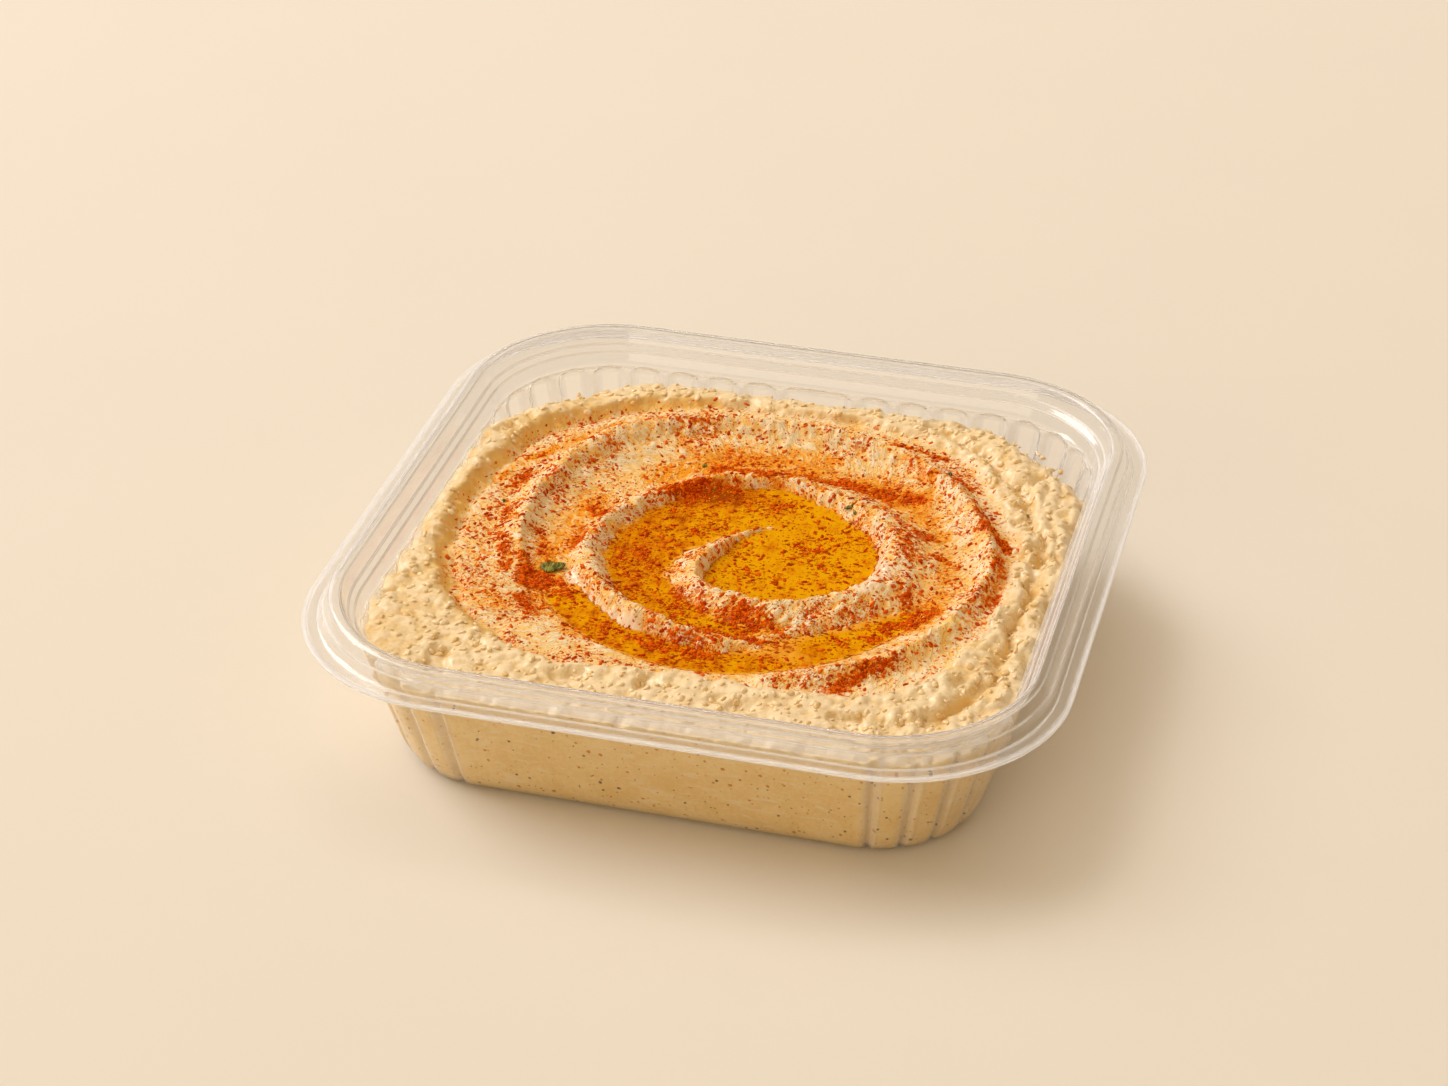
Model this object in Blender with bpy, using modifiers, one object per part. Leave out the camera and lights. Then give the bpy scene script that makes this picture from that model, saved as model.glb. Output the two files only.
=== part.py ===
"""A square tub of hummus: a clear thermoformed tray, the swirled dip in it and two pools of oil.

The tray stands on the XY plane with its base centred on the origin. The front of the tray, whose
wall is plain in the middle, faces -Y. Lengths below are in millimetres and become metres through MM.
"""

import math

import bmesh
import bpy
from mathutils import Vector

MM = 0.001

# Driving dimensions of the tray
TRAY_WIDTH = 130.0
CORNER_RADIUS = 29.5
RADIUS_PER_INSET = 0.78  # corners tighten by this much for each millimetre further in
SHEET = 0.5
LIP_Z = 26.4
RIM_Z = 30.5
FLUTE_PITCH = 7.5
FLUTE_DEPTH = 0.9
FLUTES_PER_CORNER = 5

# Rings of the tray's upper and inner face, from the lip down to the floor: inset, height, flute share
TRAY_RINGS = (
    (0.0, LIP_Z, 0.0),
    (2.4, LIP_Z, 0.0),
    (3.2, LIP_Z + 0.6, 0.0),
    (3.9, RIM_Z - 0.9, 0.0),
    (4.9, RIM_Z, 0.0),
    (6.1, RIM_Z, 0.0),
    (8.2, 26.9, 0.0),
    (8.9, 24.6, 0.0),
    (9.4, 22.9, 1.0),
    (14.8, 4.6, 1.0),
    (15.4, 2.6, 0.9),
    (17.4, SHEET, 0.0),
    (21.0, SHEET, 0.0),
)
WALL_TOP = (8.2, 26.9)
WALL_FOOT = (15.4, 2.6)

# Driving dimensions of the food
GAP = 0.3
PLATEAU_Z = 21.2
OIL_TOP_Z = 20.9
OIL_DEPTH = 1.2
COIL_START = 190.0
COIL_END = 655.0
COIL_INNER_RADIUS = 5.5
COIL_RADIUS = 25.0
COIL_GROWTH = 2.0
COIL_CREST = 3.1
HOOK_TIP = (0.0, 10.5)
RING_CENTRE = (0.0, 4.5)
RING_RADIUS = 43.3
RING_CREST = 3.6
RING_GAP = (198.0, 238.0)  # degrees between which the outer ring dies away
RIDGE_HALF_WIDTH = 5.6
BORDER_CENTRE = (-3.0, 3.8)
BORDER_HALF = (49.5, 47.8)
BORDER_POWER = 3.2
BORDER_RISE = 2.6
BACK_CORNER_DROP = 6.0
BACK_CORNER_START = 85.0  # sum of the distances from both middle planes where the drop begins
BACK_CORNER_REACH = 11.0

# Mesh fineness
SECTORS_STRAIGHT = 6
SECTORS_ARC = 7
TOP_RINGS = 28
POOL_STEP = 9.0  # degrees between the points of a pool's outline
SPREAD_TURN = 5.0  # degrees that a pool's ends move on for each millimetre of spread


def make_material(name, colour, roughness, metallic=0.0):
    """A Principled material with a plain colour."""
    material = bpy.data.materials.new(name)
    material.use_nodes = True
    shader = material.node_tree.nodes["Principled BSDF"]
    shader.inputs["Base Color"].default_value = colour
    shader.inputs["Roughness"].default_value = roughness
    shader.inputs["Metallic"].default_value = metallic
    material.diffuse_color = colour
    return material


def clear_scene():
    """Removes whatever the file holds."""
    for item in list(bpy.data.objects):
        bpy.data.objects.remove(item, do_unlink=True)


def make_collection(name):
    """A collection linked to the scene."""
    collection = bpy.data.collections.new(name)
    bpy.context.scene.collection.children.link(collection)
    return collection


def ease(value):
    """Smooth step from 0 to 1."""
    value = min(max(value, 0.0), 1.0)
    return value * value * (3.0 - 2.0 * value)


# Rounded squares


def quarter_point(station, inset, bulge=0.0):
    """A point of the first quarter of a rounded square.

    station runs 0 to 1 along half a straight side, 1 to 2 round the corner and 2 to 3 along half of
    the next side. bulge moves the point outwards.
    """
    half = TRAY_WIDTH / 2 - inset
    radius = CORNER_RADIUS - RADIUS_PER_INSET * inset
    straight = half - radius
    if station <= 1.0:
        return half + bulge, straight * station
    if station >= 2.0:
        return straight * (3.0 - station), half + bulge
    angle = math.radians(90.0) * (station - 1.0)
    reach = radius + bulge
    return straight + reach * math.cos(angle), straight + reach * math.sin(angle)


def turned(point, quarters):
    """A point turned about the origin by a number of right angles."""
    x, y = point
    for _ in range(quarters):
        x, y = -y, x
    return x, y


def fluted_stations():
    """Stations of one quarter of a tray ring, each with its share of a flute's depth.

    A flute is three stations wide: its foot, then both edges of its crown. One flute lies on each
    straight next to the corner, and the rest go round the corner.
    """
    straight = TRAY_WIDTH / 2 - CORNER_RADIUS
    plain = 1.0 - FLUTE_PITCH / straight
    stations = [(0.0, 0.0), (plain / 2, 0.0)]
    edges = [plain]
    edges += [1.0 + index / FLUTES_PER_CORNER for index in range(FLUTES_PER_CORNER + 1)]
    edges.append(3.0 - plain)
    for low, high in zip(edges, edges[1:]):
        width = high - low
        stations += [(low, 0.0), (low + 0.32 * width, 1.0), (high - 0.32 * width, 1.0)]
    stations += [(edges[-1], 0.0), (3.0 - plain / 2, 0.0)]
    return stations


def plain_stations():
    """Stations of one quarter of the food's outline."""
    straight = [index / SECTORS_STRAIGHT for index in range(SECTORS_STRAIGHT)]
    arc = [1.0 + index / SECTORS_ARC for index in range(SECTORS_ARC)]
    return straight + arc + [2.0 + share for share in straight]


def wall_inset(height):
    """Inset of the tray's inner wall, without its flutes, at a height."""
    share = (WALL_TOP[1] - height) / (WALL_TOP[1] - WALL_FOOT[1])
    return WALL_TOP[0] + share * (WALL_FOOT[0] - WALL_TOP[0])


# The surface of the food


def coil_radius(turn):
    """Distance of the coil's crest from the origin. turn is in degrees, counted without wrapping."""
    if turn < COIL_START:
        return coil_radius(COIL_START)
    opening = min((turn - COIL_START) / 180.0, 1.0)
    growth = max(turn - COIL_START - 180.0, 0.0) / (COIL_END - COIL_START - 180.0)
    return COIL_INNER_RADIUS + (COIL_RADIUS - COIL_INNER_RADIUS) * opening + COIL_GROWTH * growth


def polar(radius, degrees, centre=(0.0, 0.0)):
    """A point at a radius and an angle from a centre."""
    angle = math.radians(degrees)
    return centre[0] + radius * math.cos(angle), centre[1] + radius * math.sin(angle)


def coil_crest():
    """Points along the crest of the coil with their height above the plateau, from the hook's tip."""
    start = polar(coil_radius(COIL_START), COIL_START)
    points = []
    for step in range(6):
        share = step / 6
        x = HOOK_TIP[0] + share * (start[0] - HOOK_TIP[0])
        y = HOOK_TIP[1] + share * (start[1] - HOOK_TIP[1])
        points.append((x, y, COIL_CREST * (0.35 + 0.4 * share)))
    turn = COIL_START
    while turn <= COIL_END:
        rise = 0.75 + 0.25 * ease((turn - COIL_START) / 90.0)
        fade = ease((COIL_END - turn) / 45.0)
        points.append((*polar(coil_radius(turn), turn), COIL_CREST * rise * fade))
        turn += 4.0
    return points


def ring_crest():
    """Points along the crest of the outer ring with their height above the plateau."""
    points = []
    for turn in range(0, 360, 3):
        fade = 1.0
        if RING_GAP[0] - 20.0 < turn < RING_GAP[1] + 20.0:
            middle = (RING_GAP[0] + RING_GAP[1]) / 2
            reach = (RING_GAP[1] - RING_GAP[0]) / 2
            fade = ease((abs(turn - middle) - reach * 0.5) / reach)
        points.append((*polar(RING_RADIUS, turn, RING_CENTRE), RING_CREST * fade))
    return points


def ridge_height(x, y, crest):
    """Height above the plateau that a rounded ridge along crest gives to a point."""
    best = min(crest, key=lambda point: (point[0] - x) ** 2 + (point[1] - y) ** 2)
    distance = math.hypot(best[0] - x, best[1] - y)
    if distance >= RIDGE_HALF_WIDTH:
        return 0.0
    return best[2] * 0.5 * (1.0 + math.cos(math.pi * distance / RIDGE_HALF_WIDTH))


def border_height(x, y):
    """Height above the plateau of the rough mass along the wall."""
    across = (abs(x - BORDER_CENTRE[0]) / BORDER_HALF[0]) ** BORDER_POWER
    along = (abs(y - BORDER_CENTRE[1]) / BORDER_HALF[1]) ** BORDER_POWER
    outside = (across + along) ** (1.0 / BORDER_POWER) - 1.0
    lumps = 1.0 + 0.16 * math.sin(0.55 * x + 0.3 * y) * math.sin(0.45 * y - 0.2 * x)
    return BORDER_RISE * lumps * ease(outside / 0.07)


def corner_drop(x, y):
    """How far the food falls away in the two back corners."""
    return BACK_CORNER_DROP * ease((abs(x) + y - BACK_CORNER_START) / BACK_CORNER_REACH)


def food_height(x, y, crests):
    """Height of the food's surface."""
    ridges = max(ridge_height(x, y, crest) for crest in crests)
    return PLATEAU_Z + max(ridges, border_height(x, y)) - corner_drop(x, y)


# Sub-parts


def mesh_object(name, bm, material, collection):
    """A linked object from a bmesh given in millimetres."""
    bmesh.ops.scale(bm, vec=(MM, MM, MM), verts=bm.verts)
    bmesh.ops.recalc_face_normals(bm, faces=bm.faces)
    mesh = bpy.data.meshes.new(name)
    bm.to_mesh(mesh)
    bm.free()
    mesh.materials.append(material)
    mesh.shade_smooth()
    mesh.set_sharp_from_angle(angle=math.radians(40.0))
    item = bpy.data.objects.new(name, mesh)
    collection.objects.link(item)
    return item


def loft(bm, rings):
    """Joins rings of equally many vertices with quads."""
    for low, high in zip(rings, rings[1:]):
        count = len(low)
        for index in range(count):
            after = (index + 1) % count
            bm.faces.new((low[index], low[after], high[after], high[index]))


def build_tray(collection):
    """The tray: a fluted, rounded square surface from its lip to its floor, given a sheet's thickness."""
    bm = bmesh.new()
    rings = []
    for inset, height, flute in TRAY_RINGS:
        ring = []
        for quarter in range(4):
            for station, share in fluted_stations():
                x, y = turned(quarter_point(station, inset, FLUTE_DEPTH * flute * share), quarter)
                ring.append(bm.verts.new((x, y, height)))
        rings.append(ring)
    loft(bm, rings)
    floor = bm.faces.new(rings[-1])
    tray = mesh_object("tray", bm, make_material("tray_plastic", (0.93, 0.93, 0.92, 1.0), 0.08), collection)
    if tray.data.polygons[floor_index(tray.data)].normal.z < 0.0:
        tray.data.flip_normals()
    solidify = tray.modifiers.new("sheet", "SOLIDIFY")
    solidify.thickness = SHEET * MM
    solidify.offset = -1.0
    solidify.use_even_offset = True
    return tray


def floor_index(mesh):
    """Index of the face with the most sides."""
    return max(range(len(mesh.polygons)), key=lambda index: len(mesh.polygons[index].vertices))


def food_ring(bm, inset, height):
    """A level ring of the food's side."""
    ring = []
    for quarter in range(4):
        for station in plain_stations():
            x, y = turned(quarter_point(station, inset), quarter)
            ring.append(bm.verts.new((x, y, height)))
    return ring


def build_hummus(collection, pockets):
    """The dip: it fills the tray inside the wall, and its top carries the coil, the ring and the border."""
    crests = (coil_crest(), ring_crest())
    bm = bmesh.new()
    foot = WALL_FOOT[0] + 2.0
    rings = [food_ring(bm, foot + GAP + 0.6, SHEET + GAP)]
    rings.append(food_ring(bm, WALL_FOOT[0] + GAP + 0.2, WALL_FOOT[1] + 0.5))
    rings.append(food_ring(bm, wall_inset(10.0) + GAP, 10.0))
    edge = []
    for quarter in range(4):
        for station in plain_stations():
            x, y = turned(quarter_point(station, wall_inset(PLATEAU_Z) + GAP), quarter)
            height = food_height(x, y, crests)
            x, y = turned(quarter_point(station, wall_inset(height) + GAP), quarter)
            edge.append((x, y, height))
    rings.append([bm.verts.new(point) for point in edge])
    for step in range(1, TOP_RINGS):
        share = 1.0 - step / TOP_RINGS
        spots = [(share * x, share * y) for x, y, _ in edge]
        rings.append([bm.verts.new((x, y, food_height(x, y, crests))) for x, y in spots])
    loft(bm, rings)
    bm.faces.new(rings[0])
    middle = bm.verts.new((0.0, 0.0, food_height(0.0, 0.0, crests)))
    last = rings[-1]
    for index, vertex in enumerate(last):
        bm.faces.new((vertex, last[(index + 1) % len(last)], middle))
    material = make_material("hummus", (0.74, 0.58, 0.36, 1.0), 0.55)
    hummus = mesh_object("hummus", bm, material, collection)
    for pocket in pockets:
        cut = hummus.modifiers.new(pocket.name, "BOOLEAN")
        cut.operation = "DIFFERENCE"
        cut.solver = "EXACT"
        cut.object = pocket
    return hummus


# Pools


def steps(first, last):
    """Evenly spaced angles from first to last, both included."""
    count = max(2, round(abs(last - first) / POOL_STEP))
    return [first + (last - first) * index / count for index in range(count + 1)]


def hook_line(last):
    """Points along the middle of the hook, from its tip to a turn of the coil."""
    root = polar(coil_radius(COIL_START + 12.0), COIL_START + 12.0)
    middle = ((HOOK_TIP[0] + root[0]) / 2 - 0.4, (HOOK_TIP[1] + root[1]) / 2)
    return [HOOK_TIP, middle, root] + [polar(coil_radius(turn), turn) for turn in steps(COIL_START + 24.0, last)]


def beside(line, distance):
    """Points at a distance to the right of a line, seen along it."""
    shifted = []
    for index, point in enumerate(line):
        before = Vector(line[max(index - 1, 0)])
        after = Vector(line[min(index + 1, len(line) - 1)])
        along = (after - before).normalized()
        shifted.append((point[0] + along.y * distance, point[1] - along.x * distance))
    return shifted


def centre_pool(spread):
    """Outline of the pool inside the coil, spread outwards by a margin."""
    foot = 3.7 - spread
    hook = 2.5 - spread
    ends = SPREAD_TURN * spread
    outline = [polar(coil_radius(turn) - foot, turn) for turn in steps(625.0 + ends, 352.0)]
    outline += beside(hook_line(330.0), -hook)[::-1]
    outline.append((HOOK_TIP[0] + 0.3 * hook, HOOK_TIP[1] + 0.8 * hook))
    outline += beside(hook_line(250.0 + ends), hook)
    return outline


def front_pool(spread):
    """Outline of the crescent pool between the coil and the ring's front, spread by a margin."""
    bank = RING_RADIUS - 3.8 + spread
    ends = SPREAD_TURN * spread
    outline = [polar(bank, turn, RING_CENTRE) for turn in steps(222.0 - ends, 330.0 + ends)]
    outline += [polar(35.5 - spread, turn) for turn in steps(338.0 + ends, 318.0)]
    outline += [polar(31.2 - spread, turn) for turn in steps(300.0, 210.0 - ends)]
    return outline


def pool_curve(name, outline, low, high):
    """A flat plate with the given outline between two heights."""
    curve = bpy.data.curves.new(name, "CURVE")
    curve.dimensions = "2D"
    curve.fill_mode = "BOTH"
    curve.extrude = (high - low) / 2 * MM
    spline = curve.splines.new("POLY")
    spline.points.add(len(outline) - 1)
    for point, (x, y) in zip(spline.points, outline):
        point.co = (x * MM, y * MM, 0.0, 1.0)
    spline.use_cyclic_u = True
    item = bpy.data.objects.new(name, curve)
    item.location = (0.0, 0.0, (high + low) / 2 * MM)
    return item


def curve_to_mesh(item, collection):
    """Replaces a plate's curve object by a welded mesh object of the same name."""
    collection.objects.link(item)
    bpy.context.view_layer.update()
    name = item.name
    evaluated = item.evaluated_get(bpy.context.evaluated_depsgraph_get())
    mesh = bpy.data.meshes.new_from_object(evaluated)
    placed = item.matrix_world.copy()
    bpy.data.objects.remove(item, do_unlink=True)
    bm = bmesh.new()
    bm.from_mesh(mesh)
    bmesh.ops.remove_doubles(bm, verts=bm.verts, dist=0.00001)
    bmesh.ops.recalc_face_normals(bm, faces=bm.faces)
    bm.to_mesh(mesh)
    bm.free()
    solid = bpy.data.objects.new(name, mesh)
    solid.matrix_world = placed
    collection.objects.link(solid)
    return solid


def build_pool(name, outline, parts, cutters):
    """A pool of oil, and the pocket that it needs in the dip."""
    floor = OIL_TOP_Z - OIL_DEPTH
    oil = curve_to_mesh(pool_curve(name, outline(0.0), floor, OIL_TOP_Z), parts)
    oil.data.materials.clear()
    oil.data.materials.append(make_material(name, (0.80, 0.42, 0.03, 1.0), 0.05))
    pocket = pool_curve(name + "_pocket", outline(GAP), floor - GAP, RIM_Z)
    pocket = curve_to_mesh(pocket, cutters)
    pocket.hide_render = True
    pocket.display_type = "WIRE"
    return pocket


def main():
    """Builds the tub."""
    clear_scene()
    parts = make_collection("hummus_tub")
    cutters = make_collection("cutters")
    build_tray(parts)
    pockets = [
        build_pool("oil_centre", centre_pool, parts, cutters),
        build_pool("oil_front", front_pool, parts, cutters),
    ]
    build_hummus(parts, pockets)


main()
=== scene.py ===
"""Looks for a square tub of hummus: clear tray, swirled dip, olive oil, paprika and herb bits.

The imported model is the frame: its tray gives the place and the size of every piece here. Shapes are
worked out in millimetres and become metres when a mesh is made.
"""

from __future__ import annotations

import logging
import math
from dataclasses import dataclass, field
from enum import Enum
from typing import Any, Dict, List, Optional, Sequence, Tuple, Union

import bpy
import numpy as np
from mathutils import Euler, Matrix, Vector


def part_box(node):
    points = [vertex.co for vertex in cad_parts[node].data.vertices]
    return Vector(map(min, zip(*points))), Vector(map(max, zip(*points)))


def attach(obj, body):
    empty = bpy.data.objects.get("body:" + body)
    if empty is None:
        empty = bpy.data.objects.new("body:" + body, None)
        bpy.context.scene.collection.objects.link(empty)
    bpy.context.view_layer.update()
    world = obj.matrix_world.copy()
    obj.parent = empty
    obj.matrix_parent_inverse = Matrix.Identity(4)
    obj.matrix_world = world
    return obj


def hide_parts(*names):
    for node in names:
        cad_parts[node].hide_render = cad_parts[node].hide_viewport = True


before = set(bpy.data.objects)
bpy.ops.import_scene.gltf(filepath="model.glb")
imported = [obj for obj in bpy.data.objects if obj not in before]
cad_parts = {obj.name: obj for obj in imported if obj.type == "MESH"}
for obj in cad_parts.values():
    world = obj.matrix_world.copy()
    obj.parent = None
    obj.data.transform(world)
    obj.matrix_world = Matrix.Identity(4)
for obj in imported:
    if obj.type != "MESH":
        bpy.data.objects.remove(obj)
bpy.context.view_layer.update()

MM = 0.001
TINY = 1e-9
FAR = 1e9
LOG = logging.getLogger("hummus_tub")

Colour = Tuple[float, float, float]
Array = np.ndarray


# Fields: numbers that vary over a surface, worked out with numpy


def ease(value: Array) -> Array:
    """Smooth step from 0 to 1 of each value."""
    value = np.clip(value, 0.0, 1.0)
    return value * value * (3.0 - 2.0 * value)


def bell(distance: Array, reach: float) -> Array:
    """A soft bump that is 1 at distance 0 and fades out past reach."""
    return np.exp(-((distance / reach) ** 2))


def soft_max(first: Array, second: Array, sharpness: float = 4.0) -> Array:
    """The larger of two heights, with a rounded fillet where they meet.

    Args:
        first: Heights in millimetres.
        second: Heights in millimetres.
        sharpness: How tight the fillet is, for each millimetre.

    Returns:
        The blended heights.
    """
    top = np.maximum(first, second)
    gap = np.abs(first - second)
    return top + np.log1p(np.exp(-sharpness * gap)) / sharpness


def angle_between(first: Array, second: float) -> Array:
    """Smallest difference of angles, in degrees."""
    return np.abs((first - second + 180.0) % 360.0 - 180.0)


@dataclass(frozen=True)
class Grain:
    """Repeatable random fields over the plane."""

    seed: int

    def lattice(self, i: Array, j: Array, salt: int = 0) -> Array:
        """A random number from 0 to 1 for each pair of whole numbers.

        Args:
            i: First numbers of the pairs.
            j: Second numbers of the pairs.
            salt: Picks one of many unrelated fields.

        Returns:
            One number for each pair.
        """
        mask = np.int64(0xFFFFFFFF)
        mixed = (i.astype(np.int64) * 374761393 + j.astype(np.int64) * 668265263) & mask
        mixed = (mixed + (self.seed * 97 + salt * 31337) * 2654435761) & mask
        mixed = ((mixed ^ (mixed >> 13)) * 1274126177) & mask
        mixed = ((mixed ^ (mixed >> 16)) * 2246822519) & mask
        return ((mixed ^ (mixed >> 15)) & mask) / float(0xFFFFFFFF)

    def flow(self, x: Array, y: Array, size: float, salt: int = 0) -> Array:
        """Gradient noise from about -1 to 1.

        Args:
            x: Places in millimetres.
            y: Places in millimetres.
            size: Width of a wave.
            salt: Picks one of many unrelated fields.

        Returns:
            The noise at each place.
        """
        u = x / size
        v = y / size
        i = np.floor(u)
        j = np.floor(v)
        corners = []
        for di in (0, 1):
            for dj in (0, 1):
                turn = 2.0 * math.pi * self.lattice(i + di, j + dj, salt)
                corners.append(np.cos(turn) * (u - i - di) + np.sin(turn) * (v - j - dj))
        fu = ease(u - i)
        fv = ease(v - j)
        low = corners[0] * (1 - fu) + corners[2] * fu
        high = corners[1] * (1 - fu) + corners[3] * fu
        return 1.5 * (low * (1 - fv) + high * fv)

    def curds(self, x: Array, y: Array, size: float, salt: int = 0) -> Array:
        """Rounded lumps from 0 to 1 with sharp creases between them."""
        return np.clip(np.abs(self.flow(x, y, size, salt)) * 1.5, 0.0, 1.0) ** 0.8

    def rough(self, x: Array, y: Array, size: float, octaves: int = 3, salt: int = 0) -> Array:
        """Noise from about -1 to 1 with finer noise added to it.

        Args:
            x: Places in millimetres.
            y: Places in millimetres.
            size: Width of the coarsest wave.
            octaves: How many sizes are added, each half as wide as the one before.
            salt: Picks one of many unrelated fields.

        Returns:
            The noise at each place.
        """
        total = np.zeros_like(x)
        weight = 1.0
        whole = 0.0
        turn = 0.65
        for octave in range(octaves):
            cos = math.cos(turn * octave)
            sin = math.sin(turn * octave)
            u = x * cos - y * sin
            v = x * sin + y * cos
            total += weight * self.flow(u, v, size, salt + 7 * octave)
            whole += weight
            weight *= 0.5
            size *= 0.5
        return total * 1.4 / whole

    def lumps(self, x: Array, y: Array, size: float, salt: int = 0) -> Array:
        """Rounded lumps from 0 to 1, one around each of many scattered points.

        Args:
            x: Places in millimetres.
            y: Places in millimetres.
            size: Distance between lumps.
            salt: Picks one of many unrelated fields.

        Returns:
            Height of the lumps at each place.
        """
        u = x / size
        v = y / size
        i = np.floor(u)
        j = np.floor(v)
        best = np.full(x.shape, FAR)
        for di in (-1, 0, 1):
            for dj in (-1, 0, 1):
                cx = i + di + 0.15 + 0.7 * self.lattice(i + di, j + dj, salt)
                cy = j + dj + 0.15 + 0.7 * self.lattice(i + di, j + dj, salt + 1)
                grow = 0.65 + 0.7 * self.lattice(i + di, j + dj, salt + 2)
                best = np.minimum(best, ((cx - u) ** 2 + (cy - v) ** 2) / grow)
        return np.clip(1.0 - 1.7 * best, 0.0, 1.0)


# Meshes


def make_mesh(
    name: str, points: Array, faces: Sequence[Sequence[int]], smooth: bool = True
) -> bpy.types.Object:
    """Makes a linked object from points in millimetres.

    Args:
        name: Name of the piece.
        points: One row of three millimetre coordinates for each vertex.
        faces: Vertex indices of each face, facing outwards.
        smooth: Whether faces are shaded smooth.

    Returns:
        The new object, at the origin.
    """
    mesh = bpy.data.meshes.new(name)
    mesh.from_pydata((points * MM).tolist(), [], [list(face) for face in faces])
    mesh.update()
    if smooth:
        mesh.shade_smooth()
    item = bpy.data.objects.new(name, mesh)
    bpy.context.scene.collection.objects.link(item)
    return item


def paint(item: bpy.types.Object, name: str, values: Array) -> None:
    """Stores a number for each vertex, which materials and scatters read by name."""
    layer = item.data.attributes.new(name, "FLOAT", "POINT")
    layer.data.foreach_set("value", np.asarray(values, np.float32))


def band(first: int, second: int, count: int) -> List[Tuple[int, int, int, int]]:
    """Quads between two closed rings of vertices.

    Args:
        first: Number of the first ring's first vertex.
        second: Number of the second ring's first vertex.
        count: Vertices in each ring.

    Returns:
        Vertex numbers of each quad.
    """
    quads = []
    for index in range(count):
        after = (index + 1) % count
        quads.append((first + index, first + after, second + after, second + index))
    return quads


# Shader maths


class Term:
    """A number or colour that flows through a node tree, with the operators that shaders here use."""

    def __init__(self, tree: "NodeMaker", socket: bpy.types.NodeSocket) -> None:
        """Wraps an output socket of a tree."""
        self.tree = tree
        self.socket = socket

    def combine(self, operation: str, first: Any, second: Any) -> "Term":
        """A Math node on two terms or numbers."""
        made = self.tree.node("ShaderNodeMath", {"operation": operation}, {0: first, 1: second})
        return Term(self.tree, made.outputs[0])

    def __add__(self, other: Any) -> "Term":
        """Sum."""
        return self.combine("ADD", self, other)

    def __radd__(self, other: Any) -> "Term":
        """Sum, with this term second."""
        return self.combine("ADD", other, self)

    def __sub__(self, other: Any) -> "Term":
        """Difference."""
        return self.combine("SUBTRACT", self, other)

    def __rsub__(self, other: Any) -> "Term":
        """Difference, with this term second."""
        return self.combine("SUBTRACT", other, self)

    def __mul__(self, other: Any) -> "Term":
        """Product."""
        return self.combine("MULTIPLY", self, other)

    def __rmul__(self, other: Any) -> "Term":
        """Product, with this term second."""
        return self.combine("MULTIPLY", other, self)

    def __pow__(self, other: Any) -> "Term":
        """Power."""
        return self.combine("POWER", self, other)


class NodeMaker:
    """Adds nodes to a tree and links them."""

    def __init__(self, tree: bpy.types.NodeTree) -> None:
        """Starts on an existing tree."""
        self.tree = tree

    def node(
        self,
        kind: str,
        settings: Optional[Dict[str, Any]] = None,
        inputs: Optional[Dict[Union[int, str], Any]] = None,
    ) -> bpy.types.Node:
        """Adds one node.

        Args:
            kind: The node's type name.
            settings: Properties of the node, which are set first.
            inputs: Values, terms or sockets for its inputs, by name or index.

        Returns:
            The node.
        """
        made = self.tree.nodes.new(kind)
        for key, value in (settings or {}).items():
            setattr(made, key, value)
        for key, value in (inputs or {}).items():
            socket = made.inputs[key]
            if isinstance(value, Term):
                self.tree.links.new(value.socket, socket)
            elif isinstance(value, bpy.types.NodeSocket):
                self.tree.links.new(value, socket)
            else:
                socket.default_value = value
        return made


def solid(colour: Colour) -> Tuple[float, float, float, float]:
    """A colour with full alpha."""
    return (*colour, 1.0)


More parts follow.
